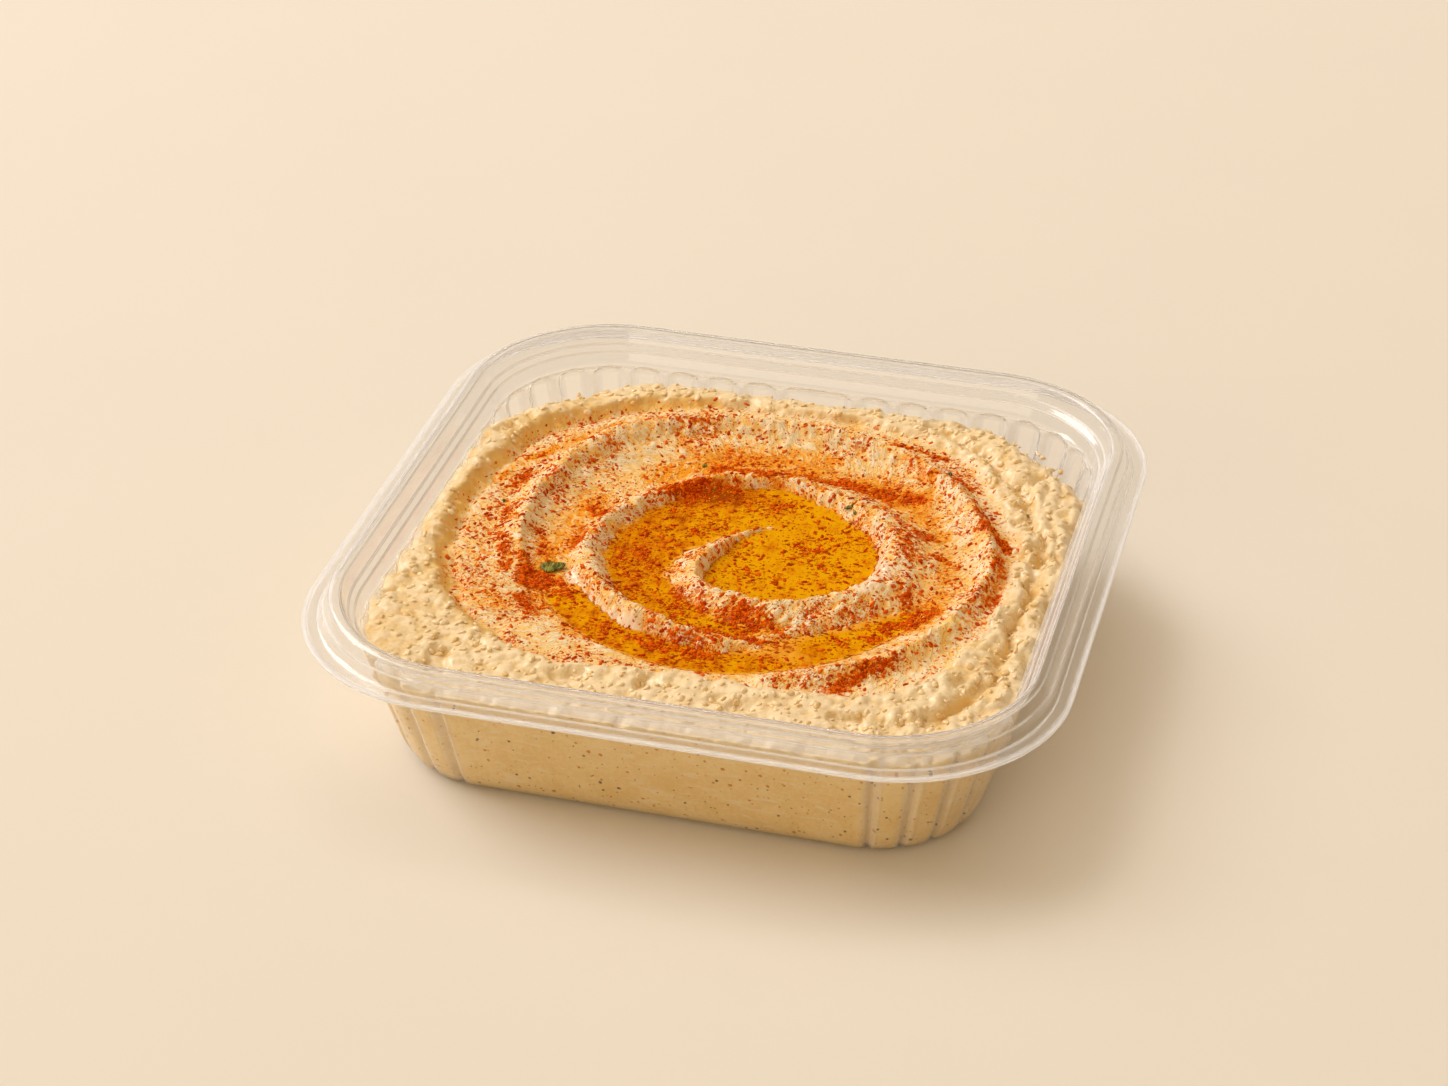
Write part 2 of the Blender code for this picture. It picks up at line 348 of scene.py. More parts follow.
class Shader(NodeMaker):
    """One material with a Principled shader, and the few patterns that finishes here use."""

    def __init__(self, name: str) -> None:
        """Makes an empty material of that name."""
        self.material = bpy.data.materials.new(name)
        self.material.use_nodes = True
        super().__init__(self.material.node_tree)
        self.surface = self.tree.nodes["Principled BSDF"]
        self.output = self.tree.nodes["Material Output"]
        self.place = self.node("ShaderNodeTexCoord").outputs["Object"]

    def set(self, **values: Any) -> None:
        """Sets or links inputs of the Principled shader.

        Args:
            values: What goes into each input, whose name has underscores for spaces.
        """
        for key, value in values.items():
            socket = self.surface.inputs[key.replace("_", " ")]
            if isinstance(value, Term):
                self.tree.links.new(value.socket, socket)
            else:
                socket.default_value = value

    def painted(self, name: str) -> Term:
        """A number stored for each vertex of the piece."""
        made = self.node("ShaderNodeAttribute", {"attribute_name": name})
        return Term(self, made.outputs["Fac"])

    def stretched(self, size: Tuple[float, float, float], turn: float = 0.0) -> bpy.types.NodeSocket:
        """Object coordinates turned about Z and divided by a size.

        Args:
            size: Length, width and height of one unit, in millimetres.
            turn: Angle about Z, in radians.

        Returns:
            The vector's socket.
        """
        scale = tuple(1.0 / (MM * value) for value in size)
        made = self.node(
            "ShaderNodeMapping",
            {"vector_type": "POINT"},
            {"Vector": self.place, "Scale": scale, "Rotation": (0.0, 0.0, turn)},
        )
        return made.outputs[0]

    def noise(self, size: float, detail: float = 2.0, rough: float = 0.5, bend: float = 0.0) -> Term:
        """Noise from 0 to 1.

        Args:
            size: Width of a lump, in millimetres.
            detail: How many finer sizes are added.
            rough: How strong the finer sizes are.
            bend: How far the lumps are pushed out of round.

        Returns:
            The noise.
        """
        inputs = {"Vector": self.place, "Scale": 1.0 / (size * MM), "Detail": detail}
        inputs.update({"Roughness": rough, "Distortion": bend})
        return Term(self, self.node("ShaderNodeTexNoise", {}, inputs).outputs["Fac"])

    def strands(self, size: Tuple[float, float, float], turn: float, bend: float = 0.3) -> Term:
        """Noise drawn out along one direction."""
        inputs = {"Vector": self.stretched(size, turn), "Scale": 1.0, "Detail": 2.0, "Distortion": bend}
        return Term(self, self.node("ShaderNodeTexNoise", {}, inputs).outputs["Fac"])

    def spots(self, size: Tuple[float, float, float], turn: float = 0.0) -> Tuple[Term, Term, Term]:
        """Scattered points, one for each cell of a size in millimetres.

        Args:
            size: Length, width and height of a cell.
            turn: Direction of its length, in radians.

        Returns:
            Distance to the nearest point as a share of size, and two random numbers that belong to it.
        """
        inputs = {"Vector": self.stretched(size, turn), "Scale": 1.0}
        made = self.node("ShaderNodeTexVoronoi", {"feature": "F1"}, inputs)
        drawn = self.node("ShaderNodeSeparateColor", {}, {"Color": made.outputs["Color"]})
        near, chance, tone = made.outputs["Distance"], drawn.outputs[0], drawn.outputs[1]
        return Term(self, near), Term(self, chance), Term(self, tone)

    def curds(self, size: float, bend: float) -> Term:
        """Rounded lumps about size millimetres across: 1 on top of each, less between them.

        Args:
            size: Width of a lump, in millimetres.
            bend: How far the lumps are pushed out of round, in millimetres.

        Returns:
            The height of the lumps.
        """
        wave = {"Vector": self.place, "Scale": 0.8 / (size * MM), "Detail": 1.0}
        push = self.node("ShaderNodeTexNoise", {}, wave).outputs["Color"]
        reach = (bend * MM, bend * MM, bend * MM)
        pushed = {0: push, 1: reach, 2: self.place}
        moved = self.node("ShaderNodeVectorMath", {"operation": "MULTIPLY_ADD"}, pushed).outputs[0]
        lump = {"Vector": moved, "Scale": 1.0 / (size * MM), "Smoothness": 0.45}
        made = self.node("ShaderNodeTexVoronoi", {"feature": "SMOOTH_F1"}, lump)
        return 1.0 - Term(self, made.outputs["Distance"]) ** 2.0

    def along(self, first: Term, second: Term, detail: float = 2.0) -> Term:
        """Noise from 0 to 1 over two painted distances."""
        place = self.node("ShaderNodeCombineXYZ", {}, {0: first, 1: second}).outputs[0]
        made = self.node("ShaderNodeTexNoise", {}, {"Vector": place, "Scale": 1.0, "Detail": detail})
        return Term(self, made.outputs["Fac"])

    def step(self, value: Any, low: Any, high: Any) -> Term:
        """Smooth step from 0 at low to 1 at high."""
        inputs = {"Value": value, "From Min": low, "From Max": high}
        made = self.node("ShaderNodeMapRange", {"interpolation_type": "SMOOTHSTEP"}, inputs)
        return Term(self, made.outputs[0])

    def mix(self, share: Any, first: Any, second: Any) -> Term:
        """A blend from one colour to another."""
        inputs = {0: share, 6: first, 7: second}
        made = self.node("ShaderNodeMix", {"data_type": "RGBA", "clamp_factor": True}, inputs)
        return Term(self, made.outputs[2])

    def bump(self, height: Term, depth: float, strength: Any = 1.0, under: Optional[Term] = None) -> Term:
        """A normal from a height.

        Args:
            height: Height from 0 to 1.
            depth: What a height of 1 stands for, in millimetres.
            strength: How much of the relief shows.
            under: A normal that this one is laid on.

        Returns:
            The normal.
        """
        inputs: Dict[Union[int, str], Any] = {"Height": height, "Distance": depth * MM}
        inputs["Strength"] = strength
        if under is not None:
            inputs["Normal"] = under
        return Term(self, self.node("ShaderNodeBump", {}, inputs).outputs[0])


# Finishes


@dataclass(frozen=True)
class ClearPlastic:
    """Clear thermoformed sheet: glass-like and glossy; painted white highlights line its folds and edges.

    Film_white is the white share of the film, lamp_share the light that passes the sheet, and rim_from the
    frost from which the sheet takes the rim's tint.
    """

    tint: Colour = (0.99, 0.985, 0.98)
    rim_tint: Colour = (0.91, 0.915, 0.935)
    haze_and_highlight: Colour = (0.93, 0.93, 0.97)
    roughness: float = 0.04
    ior: float = 1.26
    gloss: float = 0.5
    film_white: float = 0.55
    lamp_share: float = 0.88
    rim_from: float = 0.03
    ripple_size: float = 9.0
    ripple_depth: float = 0.03
    ripple_strength: float = 0.05
    veil_everywhere: float = 0.03
    veil_edge_on: float = 0.3

    def material(self) -> bpy.types.Material:
        """The material. It reads the vertex paint frost.

        Returns:
            The material. Lamps shine through it as through a thin sheet.
        """
        shader = Shader("clear_plastic")
        ripple = shader.bump(shader.noise(self.ripple_size, 1.0), self.ripple_depth, self.ripple_strength)
        # Painted highlights: this paint also whitens the folds, the lip's edge and the ribs' edges.
        frost_and_highlight = shader.painted("frost_and_highlight")
        tint = shader.mix(shader.step(frost_and_highlight, 0.0, self.rim_from), solid(self.tint), solid(self.rim_tint))
        shader.set(Base_Color=tint, Roughness=self.roughness, IOR=self.ior)
        shader.set(Transmission_Weight=1.0, Coat_Weight=self.gloss, Coat_Roughness=0.04, Normal=ripple)
        edge_on = Term(shader, shader.node("ShaderNodeLayerWeight", {}, {"Blend": 0.5}).outputs["Facing"])
        covered = self.veil_everywhere + edge_on**3.0 * self.veil_edge_on + frost_and_highlight
        milk_and_highlight = shader.node("ShaderNodeBsdfDiffuse", {}, {"Color": solid(self.haze_and_highlight)})
        clear = shader.node("ShaderNodeBsdfTransparent", {}, {"Color": (1.0, 1.0, 1.0, 1.0)})
        film = shader.node("ShaderNodeMixShader", {}, {0: self.film_white})
        veil = shader.node("ShaderNodeMixShader", {}, {0: covered})
        lamps = shader.node("ShaderNodeLightPath").outputs["Is Shadow Ray"]
        share = self.lamp_share
        through = shader.node("ShaderNodeBsdfTransparent", {}, {"Color": (share, share, share, 1.0)})
        both = shader.node("ShaderNodeMixShader", {}, {0: lamps})
        for start, end in (
            (shader.surface.outputs[0], veil.inputs[1]),
            (clear.outputs[0], film.inputs[1]),
            (milk_and_highlight.outputs[0], film.inputs[2]),
            (film.outputs[0], veil.inputs[2]),
            (veil.outputs[0], both.inputs[1]),
            (through.outputs[0], both.inputs[2]),
            (both.outputs[0], shader.output.inputs["Surface"]),
        ):
            shader.tree.links.new(start, end)
        return shader.material


@dataclass(frozen=True)
class HummusPaste:
    """Cream-beige paste, stained orange and speckled where spice and oil lie on it."""

    cream: Colour = (0.92, 0.77, 0.52)
    border_cream: Colour = (0.89, 0.705, 0.44)
    # border_shade and shade: painted shade in creases and crevices, and the paste's random darker tone.
    border_shade: Colour = (0.77, 0.51, 0.185)
    shade: Colour = (0.92, 0.57, 0.155)
    against_wall: Colour = (0.93, 0.71, 0.345)
    wall_shade: Colour = (0.86, 0.60, 0.235)
    wall_smear: Colour = (0.93, 0.78, 0.52)
    peach: Colour = (0.90, 0.54, 0.16)
    # Colour of the painted sheen on bare wet bands.
    pale: Colour = (0.94, 0.76, 0.56)
    stain: Colour = (0.88, 0.35, 0.02)
    orange_speck: Colour = (0.78, 0.17, 0.003)
    brick_speck: Colour = (0.50, 0.06, 0.001)
    tinge: Colour = (0.88, 0.34, 0.03)
    powder: Colour = (0.70, 0.135, 0.002)
    dark_powder: Colour = (0.30, 0.026, 0.001)
    dark_speck: Colour = (0.10, 0.055, 0.025)
    warm_speck: Colour = (0.62, 0.22, 0.03)
    specks: Tuple[Tuple[float, float, float], ...] = (
        (0.42, 0.44, 0.72),
        (0.8, 0.44, 0.74),
        (1.5, 0.38, 0.56),
    )
    wall_specks: Tuple[Tuple[float, float, float], ...] = (
        (0.9, 0.20, 0.4),
        (1.9, 0.16, 0.8),
        (3.4, 0.13, 0.9),
    )

    def material(self) -> bpy.types.Material:
        """The material. It reads the vertex paint of the dip: spice, oil, painted shade in creases, a
        painted sheen on wet bands, and spoon strokes.
        """
        shader = Shader("hummus_paste")
        names = ("stain", "dust", "wet", "crease_shade", "side", "rough", "sweep", "drift", "bare_and_sheen", "combed")
        stain, dust, wet, crease_shade, side, rough, sweep, drift, bare_and_sheen, combed = (
            shader.painted(name) for name in names
        )
        patch = shader.noise(5.0, 3.0)
        grit = shader.noise(0.75, 3.0, 0.6)
        fine = shader.noise(0.28, 2.0)
        swirled = (1.0 - rough) * (1.0 - side)
        stroke = shader.step(shader.along(sweep * 1.35, drift * 0.42, 3.0), 0.34, 0.66)
        strand = (stroke - 0.5) * swirled * combed
        curds = shader.curds(1.7, 0.5) * 0.75 + shader.curds(0.9, 0.3) * 0.25
        # Painted shade: crease paint and the crevices between the border's curds pull the paste to its shade
        # colour.
        gap = (1.0 - shader.step(curds, 0.40, 0.72)) * rough
        tone = patch * 0.4 + grit * 0.6 - crease_shade * 0.55 + strand * 0.16 - gap * 0.06
        light = shader.step(tone, 0.0, 0.42)
        cream = shader.mix(rough, solid(self.cream), solid(self.border_cream))
        shade = shader.mix(rough, solid(self.shade), solid(self.border_shade))
        ground = shader.mix(light, shade, cream)
        broken = (grit - 0.5) * 0.8 + (fine - 0.5) * 0.7 - strand * 0.8
        soak = stain + ((crease_shade - 0.5) * 0.9 + broken) * shader.step(stain, 0.0, 0.25)
        ground = shader.mix(shader.step(soak, 0.10, 0.65) * 0.8, ground, solid(self.peach))
        ground = shader.mix(shader.step(soak, 0.60, 1.20), ground, solid(self.stain))
        lined = shader.step(crease_shade + broken * 0.55, 0.55, 0.95) * shader.step(dust, 0.12, 0.6)
        ground = shader.mix(lined * 0.6, ground, solid(self.tinge))
        loaded = dust + ((patch - 0.5) * 0.6 + (crease_shade - 0.5) * 0.5) * shader.step(dust, 0.02, 0.3)
        clump = shader.noise(1.5, 3.0, 0.55, 0.8) - 0.5
        powder = loaded * 0.9 + (clump * 2.8 + broken * 0.5) * shader.step(loaded, 0.5, 1.0)
        ground = shader.mix(shader.step(powder, 0.95, 1.15) * 0.92, ground, solid(self.powder))
        ground = shader.mix(shader.step(powder, 1.15, 1.5) * 0.9, ground, solid(self.dark_powder))
        for size, reach, most in self.specks:
            ground = self.speckled(shader, ground, loaded, size, reach, most)
        # Painted sheen: bare wet bands are lightened to a pale pink-white.
        ground = shader.mix(bare_and_sheen * 0.75, ground, solid(self.pale))
        pressed = self.pressed(shader, patch, grit)
        ground = shader.mix(side, ground, pressed)
        relief = shader.bump(strand, 0.18, 0.8 - bare_and_sheen * 0.5)
        relief = shader.bump(curds, 0.40, rough * 0.8, relief)
        relief = shader.bump(grit, 0.16, 0.5 - bare_and_sheen * 0.3 - rough * 0.38, relief)
        relief = shader.bump(fine, 0.06, (1.0 - wet) * 0.7 + 0.1, relief)
        shader.set(Base_Color=ground, Roughness=0.60 - wet * 0.25 - side * 0.16, Normal=relief)
        shader.set(IOR=1.42, Specular_IOR_Level=0.03, Coat_Roughness=0.22)
        shader.set(Coat_Weight=0.15 + bare_and_sheen * 0.8 + rough * 0.65 + side * 0.35)
        return shader.material

    def speckled(
        self, shader: Shader, ground: Term, load: Term, size: float, reach: float, most: float
    ) -> Term:
        """Adds one size of spice speck.

        Args:
            shader: The material.
            ground: Colour under the specks.
            load: How much spice lies at each place.
            size: Distance between specks where spice is thick, in millimetres.
            reach: Radius of a speck as a share of size.
            most: Share of cells that carry a speck where spice is thick.

        Returns:
            The colour with specks.
        """
        near, chance, tone = shader.spots((size * 1.1, size * 0.9, size), 0.7)
        there = shader.step(load * most - chance, -0.02, 0.08)
        ragged = near + (shader.noise(size * 0.45, 1.0) - 0.5) * 0.5
        mask = (1.0 - shader.step(ragged, reach * 0.7, reach)) * there
        redness = shader.step(tone + load * 0.2, 0.3, 1.0)
        hue = shader.mix(redness, solid(self.orange_speck), solid(self.brick_speck))
        return shader.mix(mask * (0.65 + tone * 0.35), ground, hue)

    def pressed(self, shader: Shader, patch: Term, grit: Term) -> Term:
        """Colour of the paste where it is pressed against the wall, with smears and specks.

        Args:
            shader: The material.
            patch: Coarse noise.
            grit: Fine noise.

        Returns:
            The colour.
        """
        smear = shader.strands((5.0, 5.0, 1.1), 0.4, 0.6)
        light = shader.step(patch * 0.5 + grit * 0.5, 0.34, 0.66)
        paste = shader.mix(light, solid(self.wall_shade), solid(self.against_wall))
        paste = shader.mix(shader.step(smear, 0.55, 0.72) * 0.6, paste, solid(self.wall_smear))
        for size, reach, most in self.wall_specks:
            near, chance, tone = shader.spots((size, size, size))
            ragged = near + (grit - 0.5) * 0.16
            speck = (1.0 - shader.step(ragged, reach * 0.6, reach)) * shader.step(most - chance, 0.0, 0.03)
            hue = shader.mix(shader.step(tone, 0.62, 0.68), solid(self.warm_speck), solid(self.dark_speck))
            paste = shader.mix(speck * 0.95, paste, hue)
        return paste


@dataclass(frozen=True)
class OliveOil:
    """Olive oil over hummus: pale where it is thin, golden to amber where it is deep.

    Each row of specks holds their size in millimetres, the angle they are turned by, a speck's reach as a
    share of its size, and the share of cells that carry one.
    """

    thin: Colour = (0.86, 0.40, 0.04)
    golden: Colour = (0.78, 0.375, 0.0005)
    amber: Colour = (0.66, 0.21, 0.0005)
    brown: Colour = (0.32, 0.06, 0.0004)
    bright_speck: Colour = (0.55, 0.08, 0.0006)
    speck: Colour = (0.26, 0.025, 0.0005)
    gloss: float = 0.02
    specks: Tuple[Tuple[Tuple[float, float, float], float, float, float], ...] = (
        ((1.7, 0.5, 0.7), 0.5, 0.42, 0.42),
        ((0.7, 0.5, 0.6), 1.1, 0.42, 0.46),
        ((1.3, 1.0, 1.1), 1.9, 0.40, 0.50),
        ((2.6, 1.7, 1.5), 2.5, 0.34, 0.50),
    )

    def material(self) -> bpy.types.Material:
        """The material. It reads the vertex paint depth, amber and dust."""
        shader = Shader("olive_oil")
        depth = shader.painted("depth")
        amber = shader.painted("amber")
        dust = shader.painted("dust")
        cloud = shader.noise(3.0, 3.0)
        fine = shader.noise(0.5, 2.0)
        veins = shader.strands((1.0, 4.5, 1.0), 0.5, 1.2)
        warm = amber + (cloud - 0.5) * 2.2 + (veins - 0.5) * 1.3 + (fine - 0.5) * 0.6
        body = shader.mix(shader.step(warm, 0.0, 1.0), solid(self.golden), solid(self.amber))
        body = shader.mix(shader.step(warm, 0.7, 1.5), body, solid(self.brown))
        deep = shader.step(depth + (cloud - 0.5) * 0.2, 0.0, 0.45)
        colour = shader.mix(deep, solid(self.thin), body)
        for size, turn, reach, most in self.specks:
            near, chance, tone = shader.spots(size, turn)
            there = shader.step((dust * 1.4 + amber * 0.35) * most - chance, -0.02, 0.04)
            ragged = near + (fine - 0.5) * 0.6
            mask = (1.0 - shader.step(ragged, reach * 0.7, reach)) * there
            hue = shader.mix(tone, solid(self.bright_speck), solid(self.speck))
            colour = shader.mix(mask * (0.75 + tone * 0.25), colour, hue)
        shader.set(Base_Color=colour, Roughness=0.08, IOR=1.47)
        shader.set(Specular_IOR_Level=self.gloss, Normal=shader.bump(cloud, 0.05, 0.3))
        return shader.material


@dataclass(frozen=True)
class Spice:
    """Ground paprika: brick red to orange, grain by grain."""

    name: str
    dark: Colour
    bright: Colour
    roughness: float = 0.5
    gloss: float = 0.02

    def material(self) -> bpy.types.Material:
        """The material. It reads the grain paint tint."""
        shader = Shader(self.name)
        tint = shader.painted("tint")
        mottle = shader.noise(0.3, 2.0)
        light = shader.step(tint * 0.8 + mottle * 0.4, 0.15, 1.0)
        colour = shader.mix(light, solid(self.dark), solid(self.bright))
        shader.set(Base_Color=colour, Roughness=self.roughness, Normal=shader.bump(mottle, 0.04, 0.6))
        shader.set(Specular_IOR_Level=self.gloss)
        return shader.material


@dataclass(frozen=True)
class Herb:
    """A chopped green leaf bit with a paler rim."""

    dark: Colour = (0.055, 0.055, 0.006)
    light: Colour = (0.34, 0.31, 0.05)

    def material(self) -> bpy.types.Material:
        """The material."""
        shader = Shader("herb_green")
        vein = shader.strands((0.25, 1.6, 0.4), 0.4)
        colour = shader.mix(shader.step(vein, 0.42, 0.68), solid(self.dark), solid(self.light))
        shader.set(Base_Color=colour, Roughness=0.28, Specular_IOR_Level=0.15)
        shader.set(Normal=shader.bump(vein, 0.06, 0.8))
        return shader.material


@dataclass(frozen=True)
class Tabletop:
    """A warm pale studio surface."""

    colour: Colour = (0.78, 0.735, 0.675)
    lift: float = 1.03

    def material(self) -> bpy.types.Material:
        """The material."""
        shader = Shader("tabletop")
        tone = shader.noise(60.0, 2.0)
        lighter = tuple(self.lift * value for value in self.colour)
        colour = shader.mix(tone, solid(self.colour), solid(lighter))
        shader.set(Base_Color=colour, Roughness=0.85)
        return shader.material


# Tray


@dataclass
class Tub:
    """The clear tray. Its outline is a rounded square whose corners tighten further in.

    The profile follows the wall between the ribs. Ribs are pushed outwards from it. Lengths are in
    millimetres, and a frost is the share by which the sheet whitens: a little over the rim, and as painted
    highlight lines on its folds, the lip's edge and the ribs' edges. Folds are the insets of the profile's
    bends. Ledge_inset and floor_inset are where the wall starts and where it has run out in the floor.
    """

    width: float
    rim_z: float
    corner_radius: float = 29.5
    radius_per_inset: float = 0.78
    sheet: float = 0.5
    lip_drop: float = 4.1
    ledge_z: float = 24.0
    rib_depth: float = 0.95
    rib_gap: float = 1.15
    arch_drop: float = 2.4
    straight_pitch: float = 7.5
    ribs_per_corner: int = 5
    straight_gaps: Tuple[int, int, int, int] = (3, 4, 3, 0)
    straight_steps: int = 44
    corner_steps: int = 26
    wall_inset: float = 9.0
    rim_frost: float = 0.03
    # Whiteness of the painted highlights on the folds, the lip's edge and the ribs' edges.
    fold_highlight: float = 0.75
    folds: Tuple[float, ...] = (2.35, 3.4, 4.6, 6.25, 7.4, 8.35, 9.65)
    edge_highlight: float = 0.7
    rib_edge_highlight: float = 0.36
    ledge_inset: float = 8.0
    floor_inset: float = 16.5
    floor_rings: int = 5

    def corner(self, inset: Any) -> Any:
        """Corner radius at an inset."""
        return self.corner_radius - self.radius_per_inset * inset

    @property
    def run(self) -> float:
        """Half the straight length of the wall."""
        return self.width / 2 - self.wall_inset - self.corner(self.wall_inset)

    @property
    def arc(self) -> float:
        """Half the length of a corner of the wall."""
        return math.pi / 4 * self.corner(self.wall_inset)

    def profile(self) -> Array:
        """The sheet's upper face from the lip's edge to the floor, bends rounded.

        Returns:
            Inset and height of each point. A bend's third number is its rounding.
        """
        lip = self.rim_z - self.lip_drop
        bends = (
            (0.0, lip - 0.1, 0.0),
            (0.35, lip, 0.3),
            (2.35, lip, 0.4),
            (3.0, lip + 0.55, 0.45),
            (3.4, lip + 2.2, 1.0),
            (4.6, self.rim_z, 1.0),
            (6.25, self.rim_z, 0.8),
            (7.4, lip + 1.0, 0.9),
            (8.35, lip + 0.3, 0.5),
            (9.0, lip - 1.5, 0.6),
            (9.65, self.ledge_z + 0.1, 0.45),
            (15.35, 3.6, 2.0),
            (16.9, self.sheet, 2.4),
            (20.0, self.sheet, 0.0),
        )
        points = [bends[0][:2]]
        for before, here, after in zip(bends, bends[1:], bends[2:]):
            points += self.rounded(before[:2], here, after[:2])
        points.append(bends[-1][:2])
        return np.array(self.divided(points))

    @staticmethod
    def rounded(
        before: Tuple[float, float], here: Tuple[float, float, float], after: Tuple[float, float]
    ) -> List[Tuple[float, float]]:
        """Points that round one bend of a profile.

        Args:
            before: The bend before it.
            here: The bend, and the length of the rounding on each side.
            after: The bend after it.

        Returns:
            Points from the rounding's start to its end.
        """
        spot = Vector(here[:2])
        back = Vector(before) - spot
        ahead = Vector(after) - spot
        reach = min(here[2], 0.48 * back.length, 0.48 * ahead.length)
        first = spot + back.normalized() * reach
        last = spot + ahead.normalized() * reach
        count = 3 if reach < 0.7 else 5
        made = []
        for step in range(count + 1):
            share = step / count
            point = first * (1 - share) ** 2 + spot * 2 * share * (1 - share) + last * share**2
            made.append((point.x, point.y))
        return made

    def divided(self, points: List[Tuple[float, float]]) -> List[Tuple[float, float]]:
        """Splits long stretches of a profile, finely where the ribs' arches are.

        Args:
            points: Inset and height of each point.

        Returns:
            The points with the added ones between them.
        """
        made = [points[0]]
        for low, high in zip(points, points[1:]):
            length = math.dist(low, high)
            if high[1] < low[1] - 8.0:
                heights = list(np.arange(low[1], self.ledge_z - self.arch_drop - 1.4, -0.42))
                heights += list(np.linspace(heights[-1], high[1], 8)[1:])
                for height in heights[1:]:
                    share = (low[1] - height) / (low[1] - high[1])
                    made.append((low[0] + share * (high[0] - low[0]), float(height)))
                continue
            count = max(1, math.ceil(length / 1.4))
            for step in range(1, count + 1):
                share = step / count
                made.append((low[0] + share * (high[0] - low[0]), low[1] + share * (high[1] - low[1])))
        return made

    def outline(self, station: Array, inset: Any, side: Array) -> Tuple[Array, Array]:
        """Points of rounded squares.

        Args:
            station: -1 to 1 along a side, from the middle of one corner to the middle of the next.
            inset: How far in from the lip's edge each point lies.
            side: Number of the side, 0 at +X and then anticlockwise.

        Returns:
            X and Y of each point.
        """
        half = self.width / 2 - inset
        radius = self.corner(inset)
        straight = half - radius
        along = np.abs(station) * (self.run + self.arc)
        angle = np.clip((along - self.run) / self.corner(self.wall_inset), 0.0, math.pi / 4)
        on_side = along <= self.run
        out = np.where(on_side, half, straight + radius * np.cos(angle))
        across = np.where(on_side, straight * along / self.run, straight + radius * np.sin(angle))
        across = across * np.sign(station)
        turn = side * math.pi / 2
        return out * np.cos(turn) - across * np.sin(turn), out * np.sin(turn) + across * np.cos(turn)

    def ribs(self, station: Array, side: Array, height: Array) -> Array:
        """How far the arched ribs push the wall out.

        Args:
            station: -1 to 1 along a side.
            side: Number of the side.
            height: Height of each place, in millimetres.

        Returns:
            The push in millimetres.
        """
        along = np.abs(station) * (self.run + self.arc)
        pitch = 2 * self.arc / self.ribs_per_corner
        gaps = np.asarray(self.straight_gaps)[side.astype(int)]
        inner = np.abs((self.run - along) / self.straight_pitch % 1.0 - 0.5) * self.straight_pitch
        plain = along < self.run - gaps * self.straight_pitch
        outer = np.abs((along - self.run) / pitch % 1.0 - 0.5) * pitch
        on_side = along < self.run
        gap = np.where(on_side, inner, outer)
        half_rib = np.where(on_side, self.straight_pitch, pitch) / 2
        gap = np.where(plain, half_rib, gap)
        lean = np.clip(1.02 * (half_rib - gap) / half_rib, 0.0, 1.0)
        arch = self.ledge_z - self.arch_drop * (1.0 - np.sqrt(1.0 - lean * lean))
        below = ease((arch - height) / 0.9)
        beside = ease((gap - 0.2) / self.rib_gap)
        return self.rib_depth * below * beside

    def wall_point(
        self, station: Array, side: Array, height: Array, extra: float = 0.0
    ) -> Tuple[Array, Array]:
        """Points on the inner face of the wall.

        Args:
            station: -1 to 1 along a side.
            side: Number of the side.
            height: Height of each point, in millimetres.
            extra: How far the points are moved outwards.

        Returns:
            X and Y of each point.
        """
        line = self.profile()
        falling = line[np.argmax(line[:, 1]) :]
        inset = np.interp(-height, -falling[:, 1], falling[:, 0])
        inset = inset - self.ribs(station, side, height) - extra
        return self.outline(station, inset, side)

    def stations(self) -> Tuple[Array, Array]:
        """Where the vertices of a ring lie.

        Returns:
            Station and side of each vertex.
        """
        middle = self.run / (self.run + self.arc)
        half = np.concatenate(
            [
                np.linspace(0.0, middle, self.straight_steps, endpoint=False),
                np.linspace(middle, 1.0, self.corner_steps, endpoint=False),
            ]
        )
        station = np.concatenate([[-1.0], -half[:0:-1], half])
        return np.tile(station, 4), np.repeat(np.arange(4.0), len(station))

    def frost_and_highlight(self, profile: Array, pushes: Array) -> Array:
        """How much the sheet whitens: a little over the rim, painted highlights on folds, lip edge and rib
        edges.

        Args:
            profile: Inset and height of each ring of vertices.
            pushes: How far each vertex is pushed out by the ribs, ring by ring.

        Returns:
            A share for each vertex, ring by ring.
        """
        inset = profile[:, 0]
        rim = self.rim_frost * ease((9.6 - inset) / 0.6)
        # Painted highlight lines on the folds and along the lip's edge.
        for fold in self.folds:
            nearest = np.argmin(np.abs(inset - fold))
            rim[nearest] += self.fold_highlight
        rim += self.edge_highlight * ease((0.8 - inset) / 0.4)
        # Painted highlights along the ribs' edges, where the push changes fast.
        half_sides = 8.0
        around = half_sides * (self.run + self.arc) / pushes.shape[1]
        level = np.clip(np.abs(np.gradient(profile[:, 1])), 0.15, None)
        slope = np.hypot(np.gradient(pushes, axis=1) / around, np.gradient(pushes, axis=0) / level[:, None])
        return (rim[:, None] + self.rib_edge_highlight * np.clip(1.6 * slope, 0.0, 1.0)).ravel()

